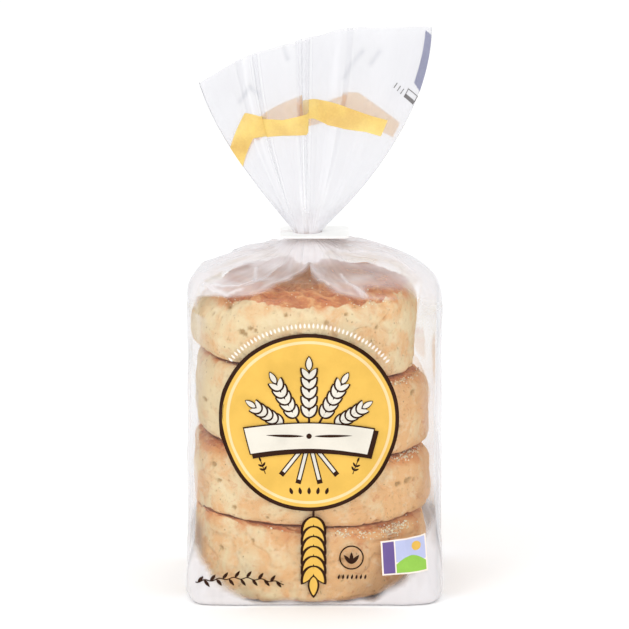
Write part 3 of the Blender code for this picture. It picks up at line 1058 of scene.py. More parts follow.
def film_dome(turn, climb, s):
    """The top: a superellipse from the shoulder to the neck, with pleats that double in number towards the
    neck. climb is the angle up it. The front and left are drawn down towards the crust, and the window at the
    front is nearly bare of pleats. Also gives its haze: hardly any in the window, less at the clearings, more
    at the back and sides, and most round the neck."""
    steep = climb / DOME_CLIMB
    plan = superellipse(turn, squareness(SHOULDER_Z)) / HALF_WIDTH
    radius = HALF_WIDTH * np.cos(climb) ** (2 / DOME_SQUARE) * mix(plan, 1.0, steep)
    z = SHOULDER_Z + DOME_RISE * np.sin(climb) ** (2 / DOME_SQUARE)
    z = z + CONE_RISE * np.exp((NECK_RADIUS - radius) / CONE_REACH)
    front = np.maximum(-np.sin(turn), 0) ** 2
    z = z - 0.0048 * front * smooth(0.046, 0.031, radius) * smooth(0.009, 0.022, radius)
    left = smooth(0.1, 0.8, -np.cos(turn))
    z = z - 0.0024 * left * smooth(0.050, 0.042, radius) * smooth(0.006, 0.018, radius)
    octave = np.log2(HALF_WIDTH / np.maximum(radius, NECK_RADIUS))
    beyond = past_window(turn, radius)
    free = smooth(-0.10, 0.08, beyond + 0.05 * noise(together(turn, octave, 0), 0.35, 611))
    raised = np.zeros_like(radius)
    for k, (centre, size) in enumerate(((0.35, 1.0), (1.1, 0.8), (1.9, 0.55), (2.7, 0.3))):
        ring = 1.35 * 2**k
        fold = ridges(turned(turn, ring, octave * 0.55), 1.0, 601 + k) ** 1.5 - 0.35
        raised = raised + size * bell(octave - centre, 0.75) * fold
    over = smooth(0.0535, 0.044, radius) * (1 - smooth(0.85, 1, steep))
    lip = bell(beyond, 0.045) * over
    lift = s.pleat * raised * mix(0.16, 1.0, free) * smooth(0.02, 0.3, climb)
    lift = lift * mix(1.0, 0.45, smooth(0.8, 1.0, steep)) + 0.0008 * lip
    plan_x, plan_y = radius * np.cos(turn), radius * np.sin(turn)
    creased = sum(bell(to_chain(plan_x, plan_y, chain), 0.0006) for chain in TOP_CREASES)
    lift = lift + 0.0006 * creased
    lift = lift + (upright_wrinkles(turn, z, s) - FILM_INSET) * (1 - smooth(0, 0.5, climb))
    radius = radius + lift * np.cos(climb)
    z = z + lift * np.sin(climb)
    centre_x = NECK_X * steep**2
    streak = 0.5 + 0.5 * noise(turned(turn, 7, octave), 1.0, 620)
    fine = 0.5 + 0.5 * noise(turned(turn, 22, octave), 1.0, 621)
    veil = mix(0.62, 1.15, streak) * mix(0.8, 1.2, fine)
    behind = smooth(-0.15, 0.45, np.sin(turn))
    onto_top = mix(smooth(0.0, 0.25, climb), smooth(-0.1, 0.75, climb), behind)
    haze = mix(s.clear, s.free * veil * (0.72 + 0.10 * left), free * onto_top)
    outside = smooth(0.040, 0.047, radius) * smooth(0.9, 0.5, -np.sin(turn))
    away = smooth(-0.026, -0.014, plan_y)
    haze = haze + free * onto_top * (0.12 * behind + 0.30 * outside + 0.34 * away + 0.06)
    clearings = [
        1 - share * bell(to_chain(plan_x, plan_y, chain), width) for share, width, chain in TOP_CLEARINGS
    ]
    haze = haze * np.prod(clearings, axis=0)
    at_front = bell(turn - FRONT, 0.45)
    cone = smooth(0.0150 + 0.0045 * at_front, 0.0105 + 0.0060 * at_front, radius)
    haze = haze + s.gathered * cone + 0.35 * (0.7 * lip + np.clip(creased, 0, 1))
    return together(centre_x + radius * np.cos(turn), radius * np.sin(turn), z), haze


# The folds of each layer of the fan: where each is across, how wide it laps over, and which panel is on top
FRONT_FOLDS = ((-0.52, 0.05, -1), (-0.084, 0.08, 1))
BACK_FOLDS = ((-0.66, 0.06, 1), (-0.14, 0.07, -1), (0.30, 0.06, 1))
FOLD_GAP = 0.0007
LAYER_GAP = 0.0016


def layer_path(folds):
    """A layer of the mouth from left to right, as shares of the half width and depths in metres. At each fold
    it runs on past, doubles back and runs on again behind or in front."""
    across, deep = [-1.0], [0.0]
    depth = 0.0
    for place, lap, side in folds:
        across += [place + lap / 2, place - lap / 2]
        deep += [depth, depth + side * FOLD_GAP]
        depth += side * 2 * FOLD_GAP
        across.append(place - lap / 2 + 0.001)
        deep.append(depth)
    across.append(1.0)
    deep.append(depth)
    across, deep = np.array(across), np.array(deep)
    run = np.concatenate([[0], np.cumsum(np.hypot(np.diff(across), np.diff(deep) / HALF_WIDTH))])
    return run / run[-1], across, deep


LAYERS = {"front": layer_path(FRONT_FOLDS), "back": layer_path(BACK_FOLDS)}
CREASE = 0.0035
# How far the fan waves in depth, how many times pi the wave turns from the middle to a side, and how far off
# the back layer takes its noise
FAN_WAVE = 0.0036
FAN_WAVES = 2.5
BACK_NOISE_SHIFT = 7.0


def on_layer(name, run):
    """Where a layer is at each share of its run, with its creases rounded by averaging a short way around."""
    runs, across, deep = LAYERS[name]
    steps = [-1.5, -0.75, 0, 0.75, 1.5]
    near = [np.clip(run + step * CREASE, 0, 1) for step in steps]
    return (
        sum(np.interp(place, runs, across) for place in near) / len(steps),
        sum(np.interp(place, runs, deep) for place in near) / len(steps),
    )


def fan_line(turn):
    """Splits the turn into the front layer, left to right, and the back layer, right to left."""
    turn = np.mod(turn, 2 * math.pi)
    front = turn >= math.pi
    run = np.where(front, turn / math.pi - 1, 1 - turn / math.pi)
    front_across, front_deep = on_layer("front", run)
    back_across, back_deep = on_layer("back", run)
    apart = LAYER_GAP * np.sqrt(np.clip(1 - np.where(front, front_across, back_across) ** 2, 0, 1))
    deep = np.where(front, front_deep - apart, back_deep + apart)
    return np.where(front, front_across, back_across), deep, front


def in_laps(across, folds):
    """1 where a layer laps over itself, and 0 elsewhere."""
    return sum(smooth(lap / 2 + 0.024, lap / 2 + 0.004, np.abs(across - place)) for place, lap, _ in folds)


def opening(share, roundness):
    """How far a side of the fan has opened at a share of its height, from straight to a quarter sine."""
    return (1 - roundness) * share + roundness * np.sin(share * math.pi / 2)


def film_fan(turn, share, s):
    """Each point runs from its place on the neck to its place on the slanted, bowed mouth. The whole fan
    waves to and fro in depth, and creases run out of the neck. Also gives its haze, thinned where it laps."""
    across, deep, front = fan_line(turn)
    mouth_x = mix(FAN_LEFT[0], FAN_RIGHT[0], (across + 1) / 2)
    mouth_z = mix(FAN_LEFT[1], FAN_RIGHT[1], (across + 1) / 2) + FAN_BOW * (1 - across**2)
    right = opening(share, FAN_ROUND_RIGHT) + FAN_BULGE_RIGHT * np.sin(math.pi * share) * (1 - share) ** 2
    opened = mix(opening(share, FAN_ROUND_LEFT), right, (across + 1) / 2)
    x = NECK_X + mix(np.cos(turn) * NECK_RADIUS, mouth_x - NECK_X, opened)
    z = NECK_HIGH_Z + (mouth_z - NECK_HIGH_Z) * share
    wave = FAN_WAVE * share * np.sin(math.pi * FAN_WAVES * across)
    y = mix(np.sin(turn) * NECK_RADIUS, deep, smooth(0.0, 0.30, share)) + wave
    side = np.where(front, 0.0, BACK_NOISE_SHIFT)
    ray = ridges(together(across * 4.2 + side, share * 0.9, 0), 1.0, 701)
    thread = ridges(together(across * 11 + side, share * 1.6, 0), 1.0, 702)
    y = y + 0.0004 * (ray**2 - 0.4) * smooth(0, 0.2, share) * (1.1 - share)
    y = y + 0.00014 * (thread**2 - 0.4) * (1.1 - share)
    flat = together(x, z, side)
    y = y + 0.0007 * noise(flat, 0.024, 703) * share
    z = z + 0.0005 * noise(together(across * 6 + side, 0, 0), 1.0, 705) * share**4
    lapped = mix(in_laps(across, BACK_FOLDS), in_laps(across, FRONT_FOLDS), front)
    haze = s.free * 0.84 * (1 - 0.6 * lapped) + s.gathered * 0.5 * smooth(0.16, 0.0, share)
    return together(x, y, z), haze


def film_front(x, z, s):
    """The film's front where x and z are given, from the floor to well up the top."""
    square = squareness(z)
    climb, shrink = dome_at(z)
    flat = np.clip(np.abs(x) / (HALF_WIDTH * shrink), 0, 0.999)
    y = -HALF_DEPTH * shrink * (1 - flat**square) ** (1 / square)
    turn = np.mod(np.arctan2(y, x), 2 * math.pi)
    low = film_body(turn, np.minimum(z, SHOULDER_Z), s)[0]
    high = film_dome(turn, climb, s)[0]
    return np.where((z > SHOULDER_Z)[..., None], high, low)


def lifted(make, first, second, lift):
    """Points of a film surface moved out by lift, along the cross product of its two directions."""
    step = 1e-4
    middle = make(first, second)
    one = make(first + step, second) - make(first - step, second)
    two = make(first, second + step) - make(first, second - step)
    out = np.cross(one, two)
    return middle + lift * out / (np.linalg.norm(out, axis=-1, keepdims=True) + 1e-15)


FILM_TURNS = 416
FLOOR_ROWS = 7
BODY_ROWS = 56
DOME_ROWS = 90
NECK_ROWS = 4
FAN_ROWS = 72
FAN_FADE_ROWS = 9
FILM_FLOOR_Z = 0.0003
FLOOR_HAZE = 0.5


def film_rows(s):
    """The whole film row by row: the flat bottom from near its middle, the body, closer rows round its bottom
    edge, the top, the neck and the fan."""
    turn = np.arange(FILM_TURNS)[None, :] / FILM_TURNS * 2 * math.pi
    rim, rim_haze = film_body(turn, np.full((1, 1), FILM_FLOOR_Z), s)
    shares = np.linspace(0.02, 1, FLOOR_ROWS)[:-1]
    parts = [(rim * np.array([share, share, 1]), rim_haze * 0 + FLOOR_HAZE) for share in shares]
    edge = 0.0042 * np.linspace(0.05, 1, 6) ** 1.5
    rise = np.concatenate([[FILM_FLOOR_Z], edge, np.linspace(0.0055, SHOULDER_Z, BODY_ROWS)])
    parts.append(film_body(turn, rise[:, None], s))
    climb = DOME_CLIMB * np.linspace(0, 1, DOME_ROWS + 1)[1:, None] ** 1.15
    parts.append(film_dome(turn, climb, s))
    top_ring = parts[-1][0][-1:]
    foot_ring, foot_haze = film_fan(turn, np.zeros((1, 1)), s)
    for share in np.linspace(0, 1, NECK_ROWS + 1)[1:]:
        parts.append((mix(top_ring, foot_ring, share), foot_haze))
    share = np.linspace(0, 1, FAN_ROWS + 1)[1:, None]
    parts.append(film_fan(turn, share, s))
    points = np.concatenate([part[0] for part in parts])
    haze = np.concatenate([np.broadcast_to(part[1], part[0].shape[:2]) for part in parts])
    return points, haze


def put_film(s, material):
    """The film as one surface, with its bottom closed at a point and its mouth open."""
    points, haze = film_rows(s)
    rows, columns = points.shape[:2]
    faces = [grid_faces(rows, columns, True), pole_faces(rows * columns, 0, columns, False)]
    here = np.arange(columns)
    pole_map = np.stack([together((here + step) / columns, 0.0) for step in (0.5, 1, 0)], 1)
    flat_map = np.concatenate([grid_map(rows, columns), pole_map.reshape(-1, 2)])
    fan_row = rows - FAN_ROWS
    fan = smooth(fan_row - 1, fan_row + FAN_FADE_ROWS, np.arange(rows))
    shade = [film_shade(part).ravel() for part in (points[:fan_row], points[fan_row:])]
    values = {
        "haze": np.append(np.clip(haze, 0, 1).ravel(), FLOOR_HAZE),
        "shade": np.append(np.concatenate(shade), 0),
        "fan": np.append(np.repeat(fan, columns), 0),
    }
    points = np.concatenate([points.reshape(-1, 3), points[0].mean(0, keepdims=True)])
    return put_mesh("film", points, faces, material, values, flat_map)


# ---------------------------------------------------------------- print

MEDALLION = np.array([-0.0022, 0.0763])
INK_LIFT = 0.00020
INK_STEP = 0.00004
OUTLINE = 0.0019
FIELD_INSET = 0.0016
RING_OUTER = 0.0030
RING_INNER = 0.0042
BANNER_HALF_WIDTH = 0.0248
BANNER_HALF_HEIGHT = 0.0052
BANNER_SAG = 0.0030


def heading(angle):
    """The direction at an angle clockwise from straight up."""
    return np.array([math.sin(angle), math.cos(angle)])


def ray(foot, angle, reach):
    """Places across and up, at distances from a foot in a direction."""
    return np.array(foot)[:, None] + heading(angle)[:, None] * reach


class Plate:
    """The shapes of one ink, gathered as grids of places on the front and laid on the film as one mesh."""

    def __init__(self, name):
        self.name = name
        self.places = []
        self.faces = []
        self.count = 0

    def shape(self, x, z, layer, closed=False):
        """A grid of places on the front, given by x and z, with its layer over the film."""
        x, z = np.broadcast_arrays(x, z)
        self.faces.append(grid_faces(*x.shape, closed) + self.count)
        self.places.append(together(x, z, INK_LIFT + layer * INK_STEP).reshape(-1, 3))
        self.count += x.size

    def ring(self, middle, inner, outer, layer, rows=3, turns=160):
        """Between two circles. Columns run clockwise from the front, so that the faces point out."""
        turn = np.arange(turns)[None, :] / turns * 2 * math.pi
        radius = np.linspace(outer, inner, rows)[:, None]
        self.shape(middle[0] + radius * np.cos(turn), middle[1] + radius * np.sin(turn), layer, True)

    def disc(self, middle, radius, layer, rows=26, turns=160):
        self.ring(middle, radius * 0.004, radius, layer, rows, turns)

    def strip(self, path_x, path_z, half, layer, rows=3):
        """A profile carried along a path: the path's points moved square to it by up to the half width."""
        along = np.stack([np.gradient(path_x), np.gradient(path_z)])
        along = along / np.linalg.norm(along, axis=0)
        side = np.linspace(-1, 1, rows)[:, None] * np.broadcast_to(half, path_x.shape)
        self.shape(path_x - side * along[1], path_z + side * along[0], layer)

    def leaf(self, foot, angle, length, width, layer, steps=15):
        """A kernel or leaf: a straight path whose half width is a sine that is blunt at both ends."""
        share = np.linspace(0, 1, steps)
        half = width / 2 * (0.06 + 0.94 * np.sin(math.pi * share**0.85) ** 0.8)
        self.strip(*ray(foot, angle, share * length), half, layer)

    def done(self, film, material):
        x, z, lift = np.concatenate(self.places).T
        points = lifted(lambda a, b: film_front(a, b, film), x, z, lift[:, None])
        return put_mesh(self.name, points, [np.concatenate(self.faces)], material)


def wheat_ear(fill, outline, foot, angle, length, kernels, size, layer):
    """Pairs of kernels up a stalk and one at its tip, each over a slightly larger dark one, and each pair
    over the one before it."""
    along = heading(angle)
    step = length / (kernels + 1)
    outline.strip(*ray(foot, angle, np.linspace(-0.35 * length, length * 0.9, 12)), 0.00045, layer)
    leans = [(k, side * math.radians(33)) for k in range(kernels) for side in (-1, 1)] + [(kernels, 0.0)]
    for k, lean in leans:
        place = np.array(foot) + along * step * k
        outline.leaf(place - 0.0004 * along, angle + lean, size * 1.22, size * 0.62, layer + 2 * k)
        fill.leaf(place + 0.0002 * along, angle + lean, size, size * 0.42, layer + 2 * k + 1)


def banner(plate, middle, layer, shift=(0, 0), grow=0.0):
    """A blank banner: a strip along a shallow parabola, with straight ends."""
    share = np.linspace(-1, 1, 50)
    x = middle[0] + shift[0] + share * (BANNER_HALF_WIDTH + grow)
    z = middle[1] + shift[1] + BANNER_SAG * (1 - share**2)
    plate.strip(x, z, BANNER_HALF_HEIGHT + grow, layer, rows=7)


def make_label(inks):
    """The medallion with its sheaf and banner, and the small marks round it."""
    names = ("yellow", "brown", "cream", "ring", "white", "violet", "sky", "green")
    plates = {name: Plate(f"print_{name}") for name in names}
    radius = inks.medallion
    plates["brown"].ring(MEDALLION, radius - OUTLINE, radius, 0, turns=220)
    plates["yellow"].disc(MEDALLION, radius - FIELD_INSET, 1, rows=44, turns=220)
    plates["ring"].ring(MEDALLION, radius - RING_INNER, radius - RING_OUTER, 2, turns=220)
    make_sheaf(plates)
    make_small_marks(plates)
    return plates


def make_sheaf(plates):
    """Five ears of wheat spread from a tie, their stalks below it, and a blank banner across them."""
    brown, cream = (plates[name] for name in ("brown", "cream"))
    tie = MEDALLION + (0.0, -0.0072)
    for lean, start, length, size in (
        (-59, 0.0125, 0.0150, 0.0044), (59, 0.0125, 0.0150, 0.0044),
        (-30, 0.0110, 0.0188, 0.0048), (30, 0.0110, 0.0188, 0.0048), (0, 0.0095, 0.0232, 0.0052),
    ):
        angle = math.radians(lean)
        foot = tie + start * heading(angle)
        wheat_ear(cream, brown, foot, angle, length, 5, size, 3)
    for lean in (-38, -14, 14, 38):
        stalk = ray(tie, math.radians(180 - lean), np.linspace(0, 1, 12) * 0.0185)
        brown.strip(*stalk, 0.0011, 3)
        cream.strip(*stalk[:, :-1], 0.0006, 4)
    middle = tie + (0, -0.0012)
    banner(brown, middle, 15, shift=(0.0013, -0.0014), grow=0.0006)
    banner(brown, middle, 16, grow=0.0005)
    banner(cream, middle, 17)
    for side in (-1, 1):
        x = middle[0] + side * 0.0022
        brown.leaf((x, middle[1] + 0.0030), math.radians(90) * side, 0.0150, 0.0011, 18)
        foot = MEDALLION + (side * 0.0185, -0.0195)
        sprig(brown, foot, side * math.radians(22), 0.0021)
    brown.disc(middle + (0, 0.0030), 0.0011, 18, rows=5, turns=24)
    for k in range(-2, 3):
        foot = MEDALLION + (k * 0.0034, -0.0296)
        brown.leaf(foot, k * 0.16, 0.0029, 0.0014, 2, steps=9)


def sprig(plate, foot, angle, size):
    """A short stalk with a leaf at its tip and two pairs below."""
    along = heading(angle)
    plate.strip(*ray(foot, angle, np.linspace(-size, 1.6 * size, 8)), 0.00018, 2)
    leaves = [(0.8 * k - 0.3, side * 0.85) for k in range(2) for side in (-1, 1)] + [(1.5, 0.0)]
    for up, lean in leaves:
        plate.leaf(foot + along * size * up, angle + lean, size, size * 0.42, 2, steps=9)


def make_small_marks(plates):
    """The dotted arc, the hanging ear, the trailing vine, the ringed grain and the panel."""
    brown, white, yellow = (plates[name] for name in ("brown", "white", "yellow"))
    for lean in np.linspace(-53, 53, 43):
        angle = math.radians(lean)
        foot = MEDALLION + 0.0388 * heading(angle)
        white.leaf(foot, angle, 0.0021, 0.0009, 1, steps=7)
    hang = np.array([-0.0004, MEDALLION[1] - 0.0392])
    wheat_ear(yellow, brown, hang, math.pi, 0.0285, 6, 0.0076, 1)
    vine_x = np.linspace(-0.0480, -0.0125, 60)
    vine_z = 0.0118 - 0.0022 * (vine_x + 0.03) ** 2 / 0.0003 + 0.0004 * np.sin(vine_x * 1100)
    brown.strip(vine_x, vine_z, 0.00022, 1)
    for k in range(2, 58, 4):
        side = 1 if k % 8 == 2 else -1
        lean = math.radians(90 - side * 52)
        brown.leaf((vine_x[k], vine_z[k]), lean, 0.0034, 0.0013, 1, steps=9)
    ringed = np.array([0.0150, 0.0204])
    brown.ring(ringed, 0.0044, 0.0050, 1, turns=72)
    for lean in (-40, 0, 40):
        brown.leaf(ringed + (0, -0.0026), math.radians(lean), 0.0048, 0.0016, 1)
    for k in range(-3, 4):
        brown.leaf(ringed + (k * 0.0018, -0.0090), 0.25, 0.0021, 0.0009, 1, steps=7)
    make_panel(plates)


def make_panel(plates):
    """A white-edged panel with a violet stripe, a pale sky and a green hill under it."""
    low, high, lean = np.array([0.0272, 0.0134]), np.array([0.0457, 0.0274]), math.radians(3.5)
    middle = (low + high) / 2
    half = (high - low) / 2

    def field(ink, left, right, bottom, top, layer, hill=0.0):
        across = np.linspace(left, right, 40)[None, :]
        up = np.linspace(0, 1, 16)[:, None]
        roof = top + hill * np.sin(math.pi * (across - left) / (right - left))
        x = across * half[0] + 0 * up
        z = mix(bottom, roof, up) * half[1]
        turned_x = middle[0] + x * math.cos(lean) - z * math.sin(lean)
        turned_z = middle[1] + x * math.sin(lean) + z * math.cos(lean)
        plates[ink].shape(turned_x, turned_z, layer)

    field("white", -1.0, 1.0, -1.0, 1.0, 1)
    field("violet", -0.93, -0.42, -0.91, 0.91, 2)
    field("sky", -0.36, 0.93, -0.30, 0.91, 2)
    field("green", -0.36, 0.93, -0.91, -0.42, 2.6, hill=0.42)
    sun = middle + (0.0046, 0.0036)
    plates["yellow"].disc(sun, 0.0018, 3, rows=5, turns=30)


# The band across the fan: on each panel between the folds, its lower and upper edge at places across
FRONT_BAND = (
    (0, -1.00, 0.433, 0.560), (0, -0.70, 0.552, 0.705), (0, -0.56, 0.540, 0.655),
    (1, -0.54, 0.538, 0.640), (1, -0.33, 0.526, 0.612), (1, -0.07, 0.506, 0.614),
    (2, -0.12, 0.590, 0.690), (2, -0.01, 0.582, 0.683), (2, 0.16, 0.531, 0.649), (2, 0.35, 0.506, 0.612),
    (2, 0.60, 0.492, 0.573), (2, 0.80, 0.465, 0.545),
)
# A strip and a few small marks on the fan: corners as places across and up, from the lower left anticlockwise
SLATE_STRIP = ((0.918, 0.728), (0.997, 0.684), (0.992, 0.962), (0.940, 0.985))
BOX_FOOT = np.array([(0.862, 0.660), (0.980, 0.620)])
BOX_SIDE = np.array([0.017, 0.042])
TALLY_FOOT = np.array([(0.728, 0.714), (0.838, 0.668)])
TALLY_SIDE = np.array([0.020, 0.024])
BACK_BAND = (
    (0, -1.00, 0.430, 0.555), (0, -0.68, 0.541, 0.640),
    (1, -0.64, 0.524, 0.634), (1, -0.41, 0.568, 0.676), (1, -0.27, 0.587, 0.695), (1, -0.12, 0.600, 0.708),
    (2, -0.08, 0.541, 0.646), (2, 0.07, 0.541, 0.639), (2, 0.20, 0.555, 0.656),
    (3, 0.30, 0.575, 0.680), (3, 0.43, 0.582, 0.678), (3, 0.55, 0.548, 0.641), (3, 0.75, 0.489, 0.578),
    (3, 0.95, 0.452, 0.521),
)


def run_at(layer, panel, where):
    """The share of a layer's run at a place across one of its panels. Each fold adds three corners."""
    runs, across, _ = LAYERS[layer]
    rate = (runs[1] - runs[0]) / (across[1] - across[0])
    return runs[3 * panel] + (where - across[3 * panel]) * rate


def on_fan(run, share, layer, lift, s):
    """Points on a layer of the fan, moved out by lift."""
    turn = (run + 1) * math.pi if layer == "front" else (1 - run) * math.pi
    first = math.pi if layer == "front" else 0.0
    turn = np.clip(turn, first + 1e-4, first + math.pi - 1e-4)
    return lifted(lambda a, b: film_fan(a, b, s)[0], turn, np.broadcast_to(share, turn.shape), lift)


def put_band(name, layer, knots, s, material, lift=0.00012):
    """The band on one layer of the fan, on the film's own columns so that it folds with it. A knot gives a
    panel, a place across it and the band's lower and upper edge there."""
    places = np.array([run_at(layer, panel, where) for panel, where, _, _ in knots])
    order = np.argsort(places)
    places, knots = places[order], np.array(knots)[order]
    half = FILM_TURNS // 2
    run = np.arange(half + 1) / half
    run = run[(run >= places[0] - 1e-6) & (run <= places[-1] + 1e-6)]
    run = run if layer == "front" else run[::-1]
    low, high = (np.interp(run, places, knots[:, k]) for k in (2, 3))
    share = mix(low[None, :], high[None, :], np.linspace(0, 1, 9)[:, None])
    points = on_fan(np.broadcast_to(run, share.shape), share, layer, lift, s)
    return put_mesh(name, points.reshape(-1, 3), [grid_faces(*share.shape, False)], material)


PATCH_COLUMNS = 8
PATCH_ROWS = 24
LAST_PANEL = len(FRONT_FOLDS)


def put_fan_patches(name, patches, s, material, lift=0.00025):
    """Four-cornered patches on the fan's front layer. Each gives the places of its corners across the last
    panel and up the fan, from the lower left anticlockwise."""
    across = np.linspace(0, 1, PATCH_COLUMNS)[:, None, None]
    up = np.linspace(0, 1, PATCH_ROWS)[:, None, None, None]
    corners = np.array(patches)
    low = mix(corners[:, 0], corners[:, 1], across)
    high = mix(corners[:, 3], corners[:, 2], across)
    place, share = np.moveaxis(mix(low, high, up), -1, 0)
    points = on_fan(run_at("front", LAST_PANEL, place), share, "front", lift, s)
    patch = grid_faces(PATCH_ROWS, PATCH_COLUMNS, False)
    faces = [patch + PATCH_ROWS * PATCH_COLUMNS * k for k in range(len(patches))]
    points = np.moveaxis(points, 2, 0).reshape(-1, 3)
    return put_mesh(name, points, [np.concatenate(faces)], material)


def fan_marks():
    """A small tilted box with a heavy lower half, and three strokes beside it."""
    left, right = BOX_FOOT
    along = (right - left) * 0.07
    patches = [
        (left, right, right + 0.40 * BOX_SIDE, left + 0.40 * BOX_SIDE),
        (left + 0.90 * BOX_SIDE, right + 0.90 * BOX_SIDE, right + BOX_SIDE, left + BOX_SIDE),
        (left, left + along, left + along + BOX_SIDE, left + BOX_SIDE),
        (right - along, right, right + BOX_SIDE, right - along + BOX_SIDE),
    ]
    for share in (0.1, 0.45, 0.8):
        foot = mix(*TALLY_FOOT, share)
        patches.append((foot, foot + along, foot + along + TALLY_SIDE, foot + TALLY_SIDE))
    return patches


# ---------------------------------------------------------------- operators


class MAKE_OT_muffins(bpy.types.Operator):
    """Makes the four muffins, stacked"""

    bl_idname = "muffin_bag.muffins"
    bl_label = "Muffins"

    def execute(self, context):
        s = context.scene.muffin_bag.muffins
        material = muffin_material(s)
        surfaces = []
        for index in range(len(MUFFINS)):
            piece, points, past_edge = put_muffin(index, s, material)
            surfaces.append((points, past_edge))
        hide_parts("bag")
        self.put_meal(context.scene.muffin_bag.grains, surfaces)
        return {"FINISHED"}

    @staticmethod
    def put_meal(s, surfaces):
        random = np.random.default_rng(7)

        def on_rims(index, points, past_edge):
            """Most grains lie along the crust's edge where the upper rims show, in loose clusters."""
            x, y = points[..., 0], points[..., 1]
            edge = bell(past_edge + 0.010, 0.050) if index == 0 else bell(past_edge + 0.005, 0.040)
            front = smooth(0.01, -0.02, y)
            clusters = smooth(-0.1, 0.5, noise(points, 0.008, 801))
            if index == len(MUFFINS) - 1:
                strip = bell(to_chain(x, y, TOP_CLEARINGS[0][2]), 0.0030)
                return edge * 0.6 * clusters + (past_edge > -0.05) * (0.03 + 6 * strip)
            heaps = sum(high * bell(x - middle, wide) for high, middle, wide in GRAIN_HEAPS[index])
            return edge * (0.05 + 0.15 * clusters + front * heaps)

        places, outward = scatter(surfaces, s.grains, on_rims, random)
        sizes = s.grain_size * (0.60 + 0.6 * random.uniform(0, 1, s.grains) ** 2)
        centres = places + outward * (sizes * 0.26)[:, None]
        meal = meal_material("cornmeal", s.meal, s.meal_dark)
        put_bits("cornmeal", centres, sizes, random.uniform(0.5, 0.9, s.grains), random, meal)

        turn = random.uniform(0, 2 * math.pi, s.crumbs)
        reach = random.uniform(0.83, 0.965, s.crumbs)
        sizes = s.crumb_size * random.uniform(0.25, 1.0, s.crumbs) ** 2
        centres = turned(turn, reach * superellipse(turn, 3.0), 0.0009 + sizes * 0.35)
        crumb = meal_material("crumb", linear(232, 200, 150), linear(170, 108, 62))
        put_bits("crumbs", centres, sizes, random.uniform(0.4, 0.8, s.crumbs), random, crumb)


class MAKE_OT_film(bpy.types.Operator):
    """Makes the clear film, from its closed bottom to its open mouth"""

    bl_idname = "muffin_bag.film"
    bl_label = "Film"

    def execute(self, context):
        s = context.scene.muffin_bag.film
        piece = put_film(s, film_material(s))
        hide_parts("bag")
        return {"FINISHED"}


class MAKE_OT_print(bpy.types.Operator):
    """Prints the medallion, the marks round it and the band across the fan"""

    bl_idname = "muffin_bag.print"
    bl_label = "Print"

    def execute(self, context):
        s = context.scene.muffin_bag.film
        inks = context.scene.muffin_bag.inks
        for name, plate in make_label(inks).items():
            plate.done(s, ink_material(f"ink_{name}", getattr(inks, name)))
        put_band("band_front", "front", FRONT_BAND, s, ink_material("ink_band", inks.band, 0.94, 0.25, 0.10))
        behind = ink_material("ink_band_back", inks.band_back, 0.62, 0.6, 0.04)
        put_band("band_back", "back", BACK_BAND, s, behind, -0.00012)
        slate = ink_material("ink_slate", inks.slate, 0.9)
        put_fan_patches("strip_slate", [SLATE_STRIP], s, slate)
        marks = ink_material("ink_marks", inks.grey, 0.85)
        put_fan_patches("fan_marks", fan_marks(), s, marks)
        return {"FINISHED"}


class MAKE_OT_clip(bpy.types.Operator):
    """Gives the flat clip its moulded plastic"""

    bl_idname = "muffin_bag.clip"
    bl_label = "Clip"

    def execute(self, context):
        material = clip_material(context.scene.muffin_bag.clip)
        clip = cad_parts["clip"]
        if not clip.material_slots:
            clip.data.materials.append(None)
        for slot in clip.material_slots:
            slot.material = material
        return {"FINISHED"}


FLOOR_RADIUS = 14.0
FLOOR_RINGS = 12
FLOOR_TURNS = 48


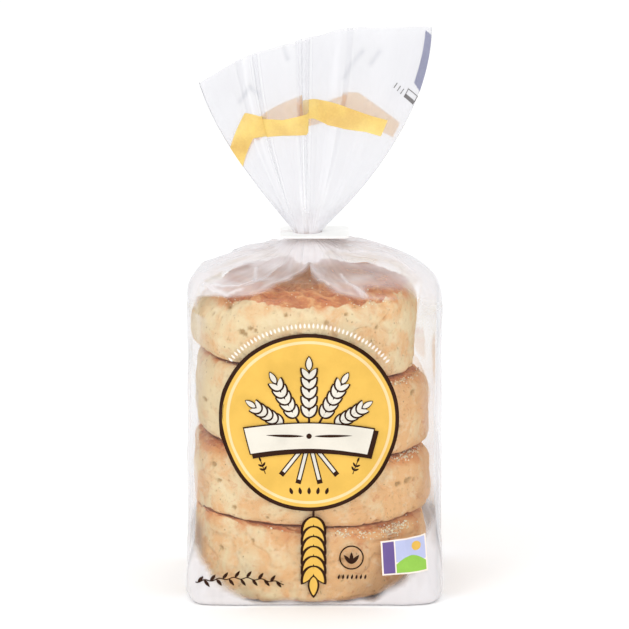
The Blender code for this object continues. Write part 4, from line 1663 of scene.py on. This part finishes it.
class MAKE_OT_stage(bpy.types.Operator):
    """Makes the floor, the lights and the camera"""

    bl_idname = "muffin_bag.stage"
    bl_label = "Stage"

    def execute(self, context):
        s = context.scene.muffin_bag.stage
        self.put_floor(s)
        self.put_lights(context.scene, s)
        self.put_camera(context.scene, s)
        context.scene.view_settings.view_transform = "Standard"
        context.scene.cycles.transparent_max_bounces = 40
        return {"FINISHED"}

    @staticmethod
    def put_floor(s):
        """A wide round floor, in rings round the bag that are closer near its middle."""
        turn = np.arange(FLOOR_TURNS)[None, :] / FLOOR_TURNS * 2 * math.pi
        radius = FLOOR_RADIUS * np.linspace(0.01, 1, FLOOR_RINGS)[:, None] ** 2
        points = np.concatenate([turned(turn, radius, 0).reshape(-1, 3), np.zeros((1, 3))])
        rings = grid_faces(FLOOR_RINGS, FLOOR_TURNS, True)[:, ::-1]
        middle = pole_faces(FLOOR_RINGS * FLOOR_TURNS, 0, FLOOR_TURNS, True)
        floor = make_mesh("floor", points, [rings, middle], floor_material(s))

    @staticmethod
    def put_lights(scene, s):
        world = bpy.data.worlds.new("daylight")
        scene.world = world
        world.use_nodes = True
        world.node_tree.nodes["Background"].inputs["Color"].default_value = (1.0, 1.0, 1.0, 1)
        world.node_tree.nodes["Background"].inputs["Strength"].default_value = s.daylight
        # Each lamp's name, place, width and share of the key light's power
        for name, place, size, share in (
            ("key", (-1.1, -1.3, 1.6), 0.9, 1.0),
            ("fill", (1.5, -1.2, 0.9), 1.2, 0.35),
            ("over", (0.1, 0.5, 1.9), 1.4, 0.5),
            ("front", (0.1, -2.3, 0.35), 1.0, 0.6),
        ):
            lamp = bpy.data.lights.new(name, "AREA")
            lamp.energy = s.key * share
            lamp.size = size
            holder = bpy.data.objects.new(name, lamp)
            scene.collection.objects.link(holder)
            holder.location = place
            aim = np.array([0, 0, 0.1]) - np.array(place)
            holder.rotation_euler = (
                math.atan2(math.hypot(aim[0], aim[1]), -aim[2]), 0, math.atan2(aim[1], aim[0]) - math.pi / 2
            )

    @staticmethod
    def put_camera(scene, s):
        lens = bpy.data.cameras.new("camera")
        lens.sensor_width = 36
        lens.lens = lens.sensor_width * s.distance / s.view_width
        lens.clip_start = 0.05
        lens.clip_end = 30
        camera = bpy.data.objects.new("camera", lens)
        scene.collection.objects.link(camera)
        back, up = math.cos(s.elevation), math.sin(s.elevation)
        camera.location = (0, -s.distance * back, s.aim + s.distance * up)
        camera.rotation_euler = (math.pi / 2 - s.elevation, 0, 0)
        scene.camera = camera


class VIEW3D_PT_muffin_bag(bpy.types.Panel):
    """Lists the makers and their settings"""

    bl_label = "Muffin Bag"
    bl_idname = "VIEW3D_PT_muffin_bag"
    bl_space_type = "VIEW_3D"
    bl_region_type = "UI"
    bl_category = "Muffin Bag"

    def draw(self, context):
        for maker, names in MAKERS:
            box = self.layout.box()
            box.operator(maker.bl_idname)
            for name in names:
                group = getattr(context.scene.muffin_bag, name)
                for key in group.bl_rna.properties.keys():
                    if key not in ("rna_type", "name"):
                        box.prop(group, key)


# Each maker with the groups of settings that it reads
MAKERS = (
    (MAKE_OT_stage, ("stage",)),
    (MAKE_OT_muffins, ("muffins", "grains")),
    (MAKE_OT_film, ("film",)),
    (MAKE_OT_print, ("inks",)),
    (MAKE_OT_clip, ("clip",)),
)
GROUPS = (MuffinSettings, GrainSettings, FilmSettings, PrintSettings, ClipSettings, StageSettings)
CLASSES = (*GROUPS, BagSettings, *(maker for maker, names in MAKERS), VIEW3D_PT_muffin_bag)


def register():
    for item in CLASSES:
        bpy.utils.register_class(item)
    bpy.types.Scene.muffin_bag = bpy.props.PointerProperty(type=BagSettings)


def unregister():
    del bpy.types.Scene.muffin_bag
    for item in reversed(CLASSES):
        bpy.utils.unregister_class(item)


def main():
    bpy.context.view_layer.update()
    register()
    for maker, names in MAKERS:
        category, name = maker.bl_idname.split(".")
        getattr(getattr(bpy.ops, category), name)()


if __name__ == "__main__":
    main()
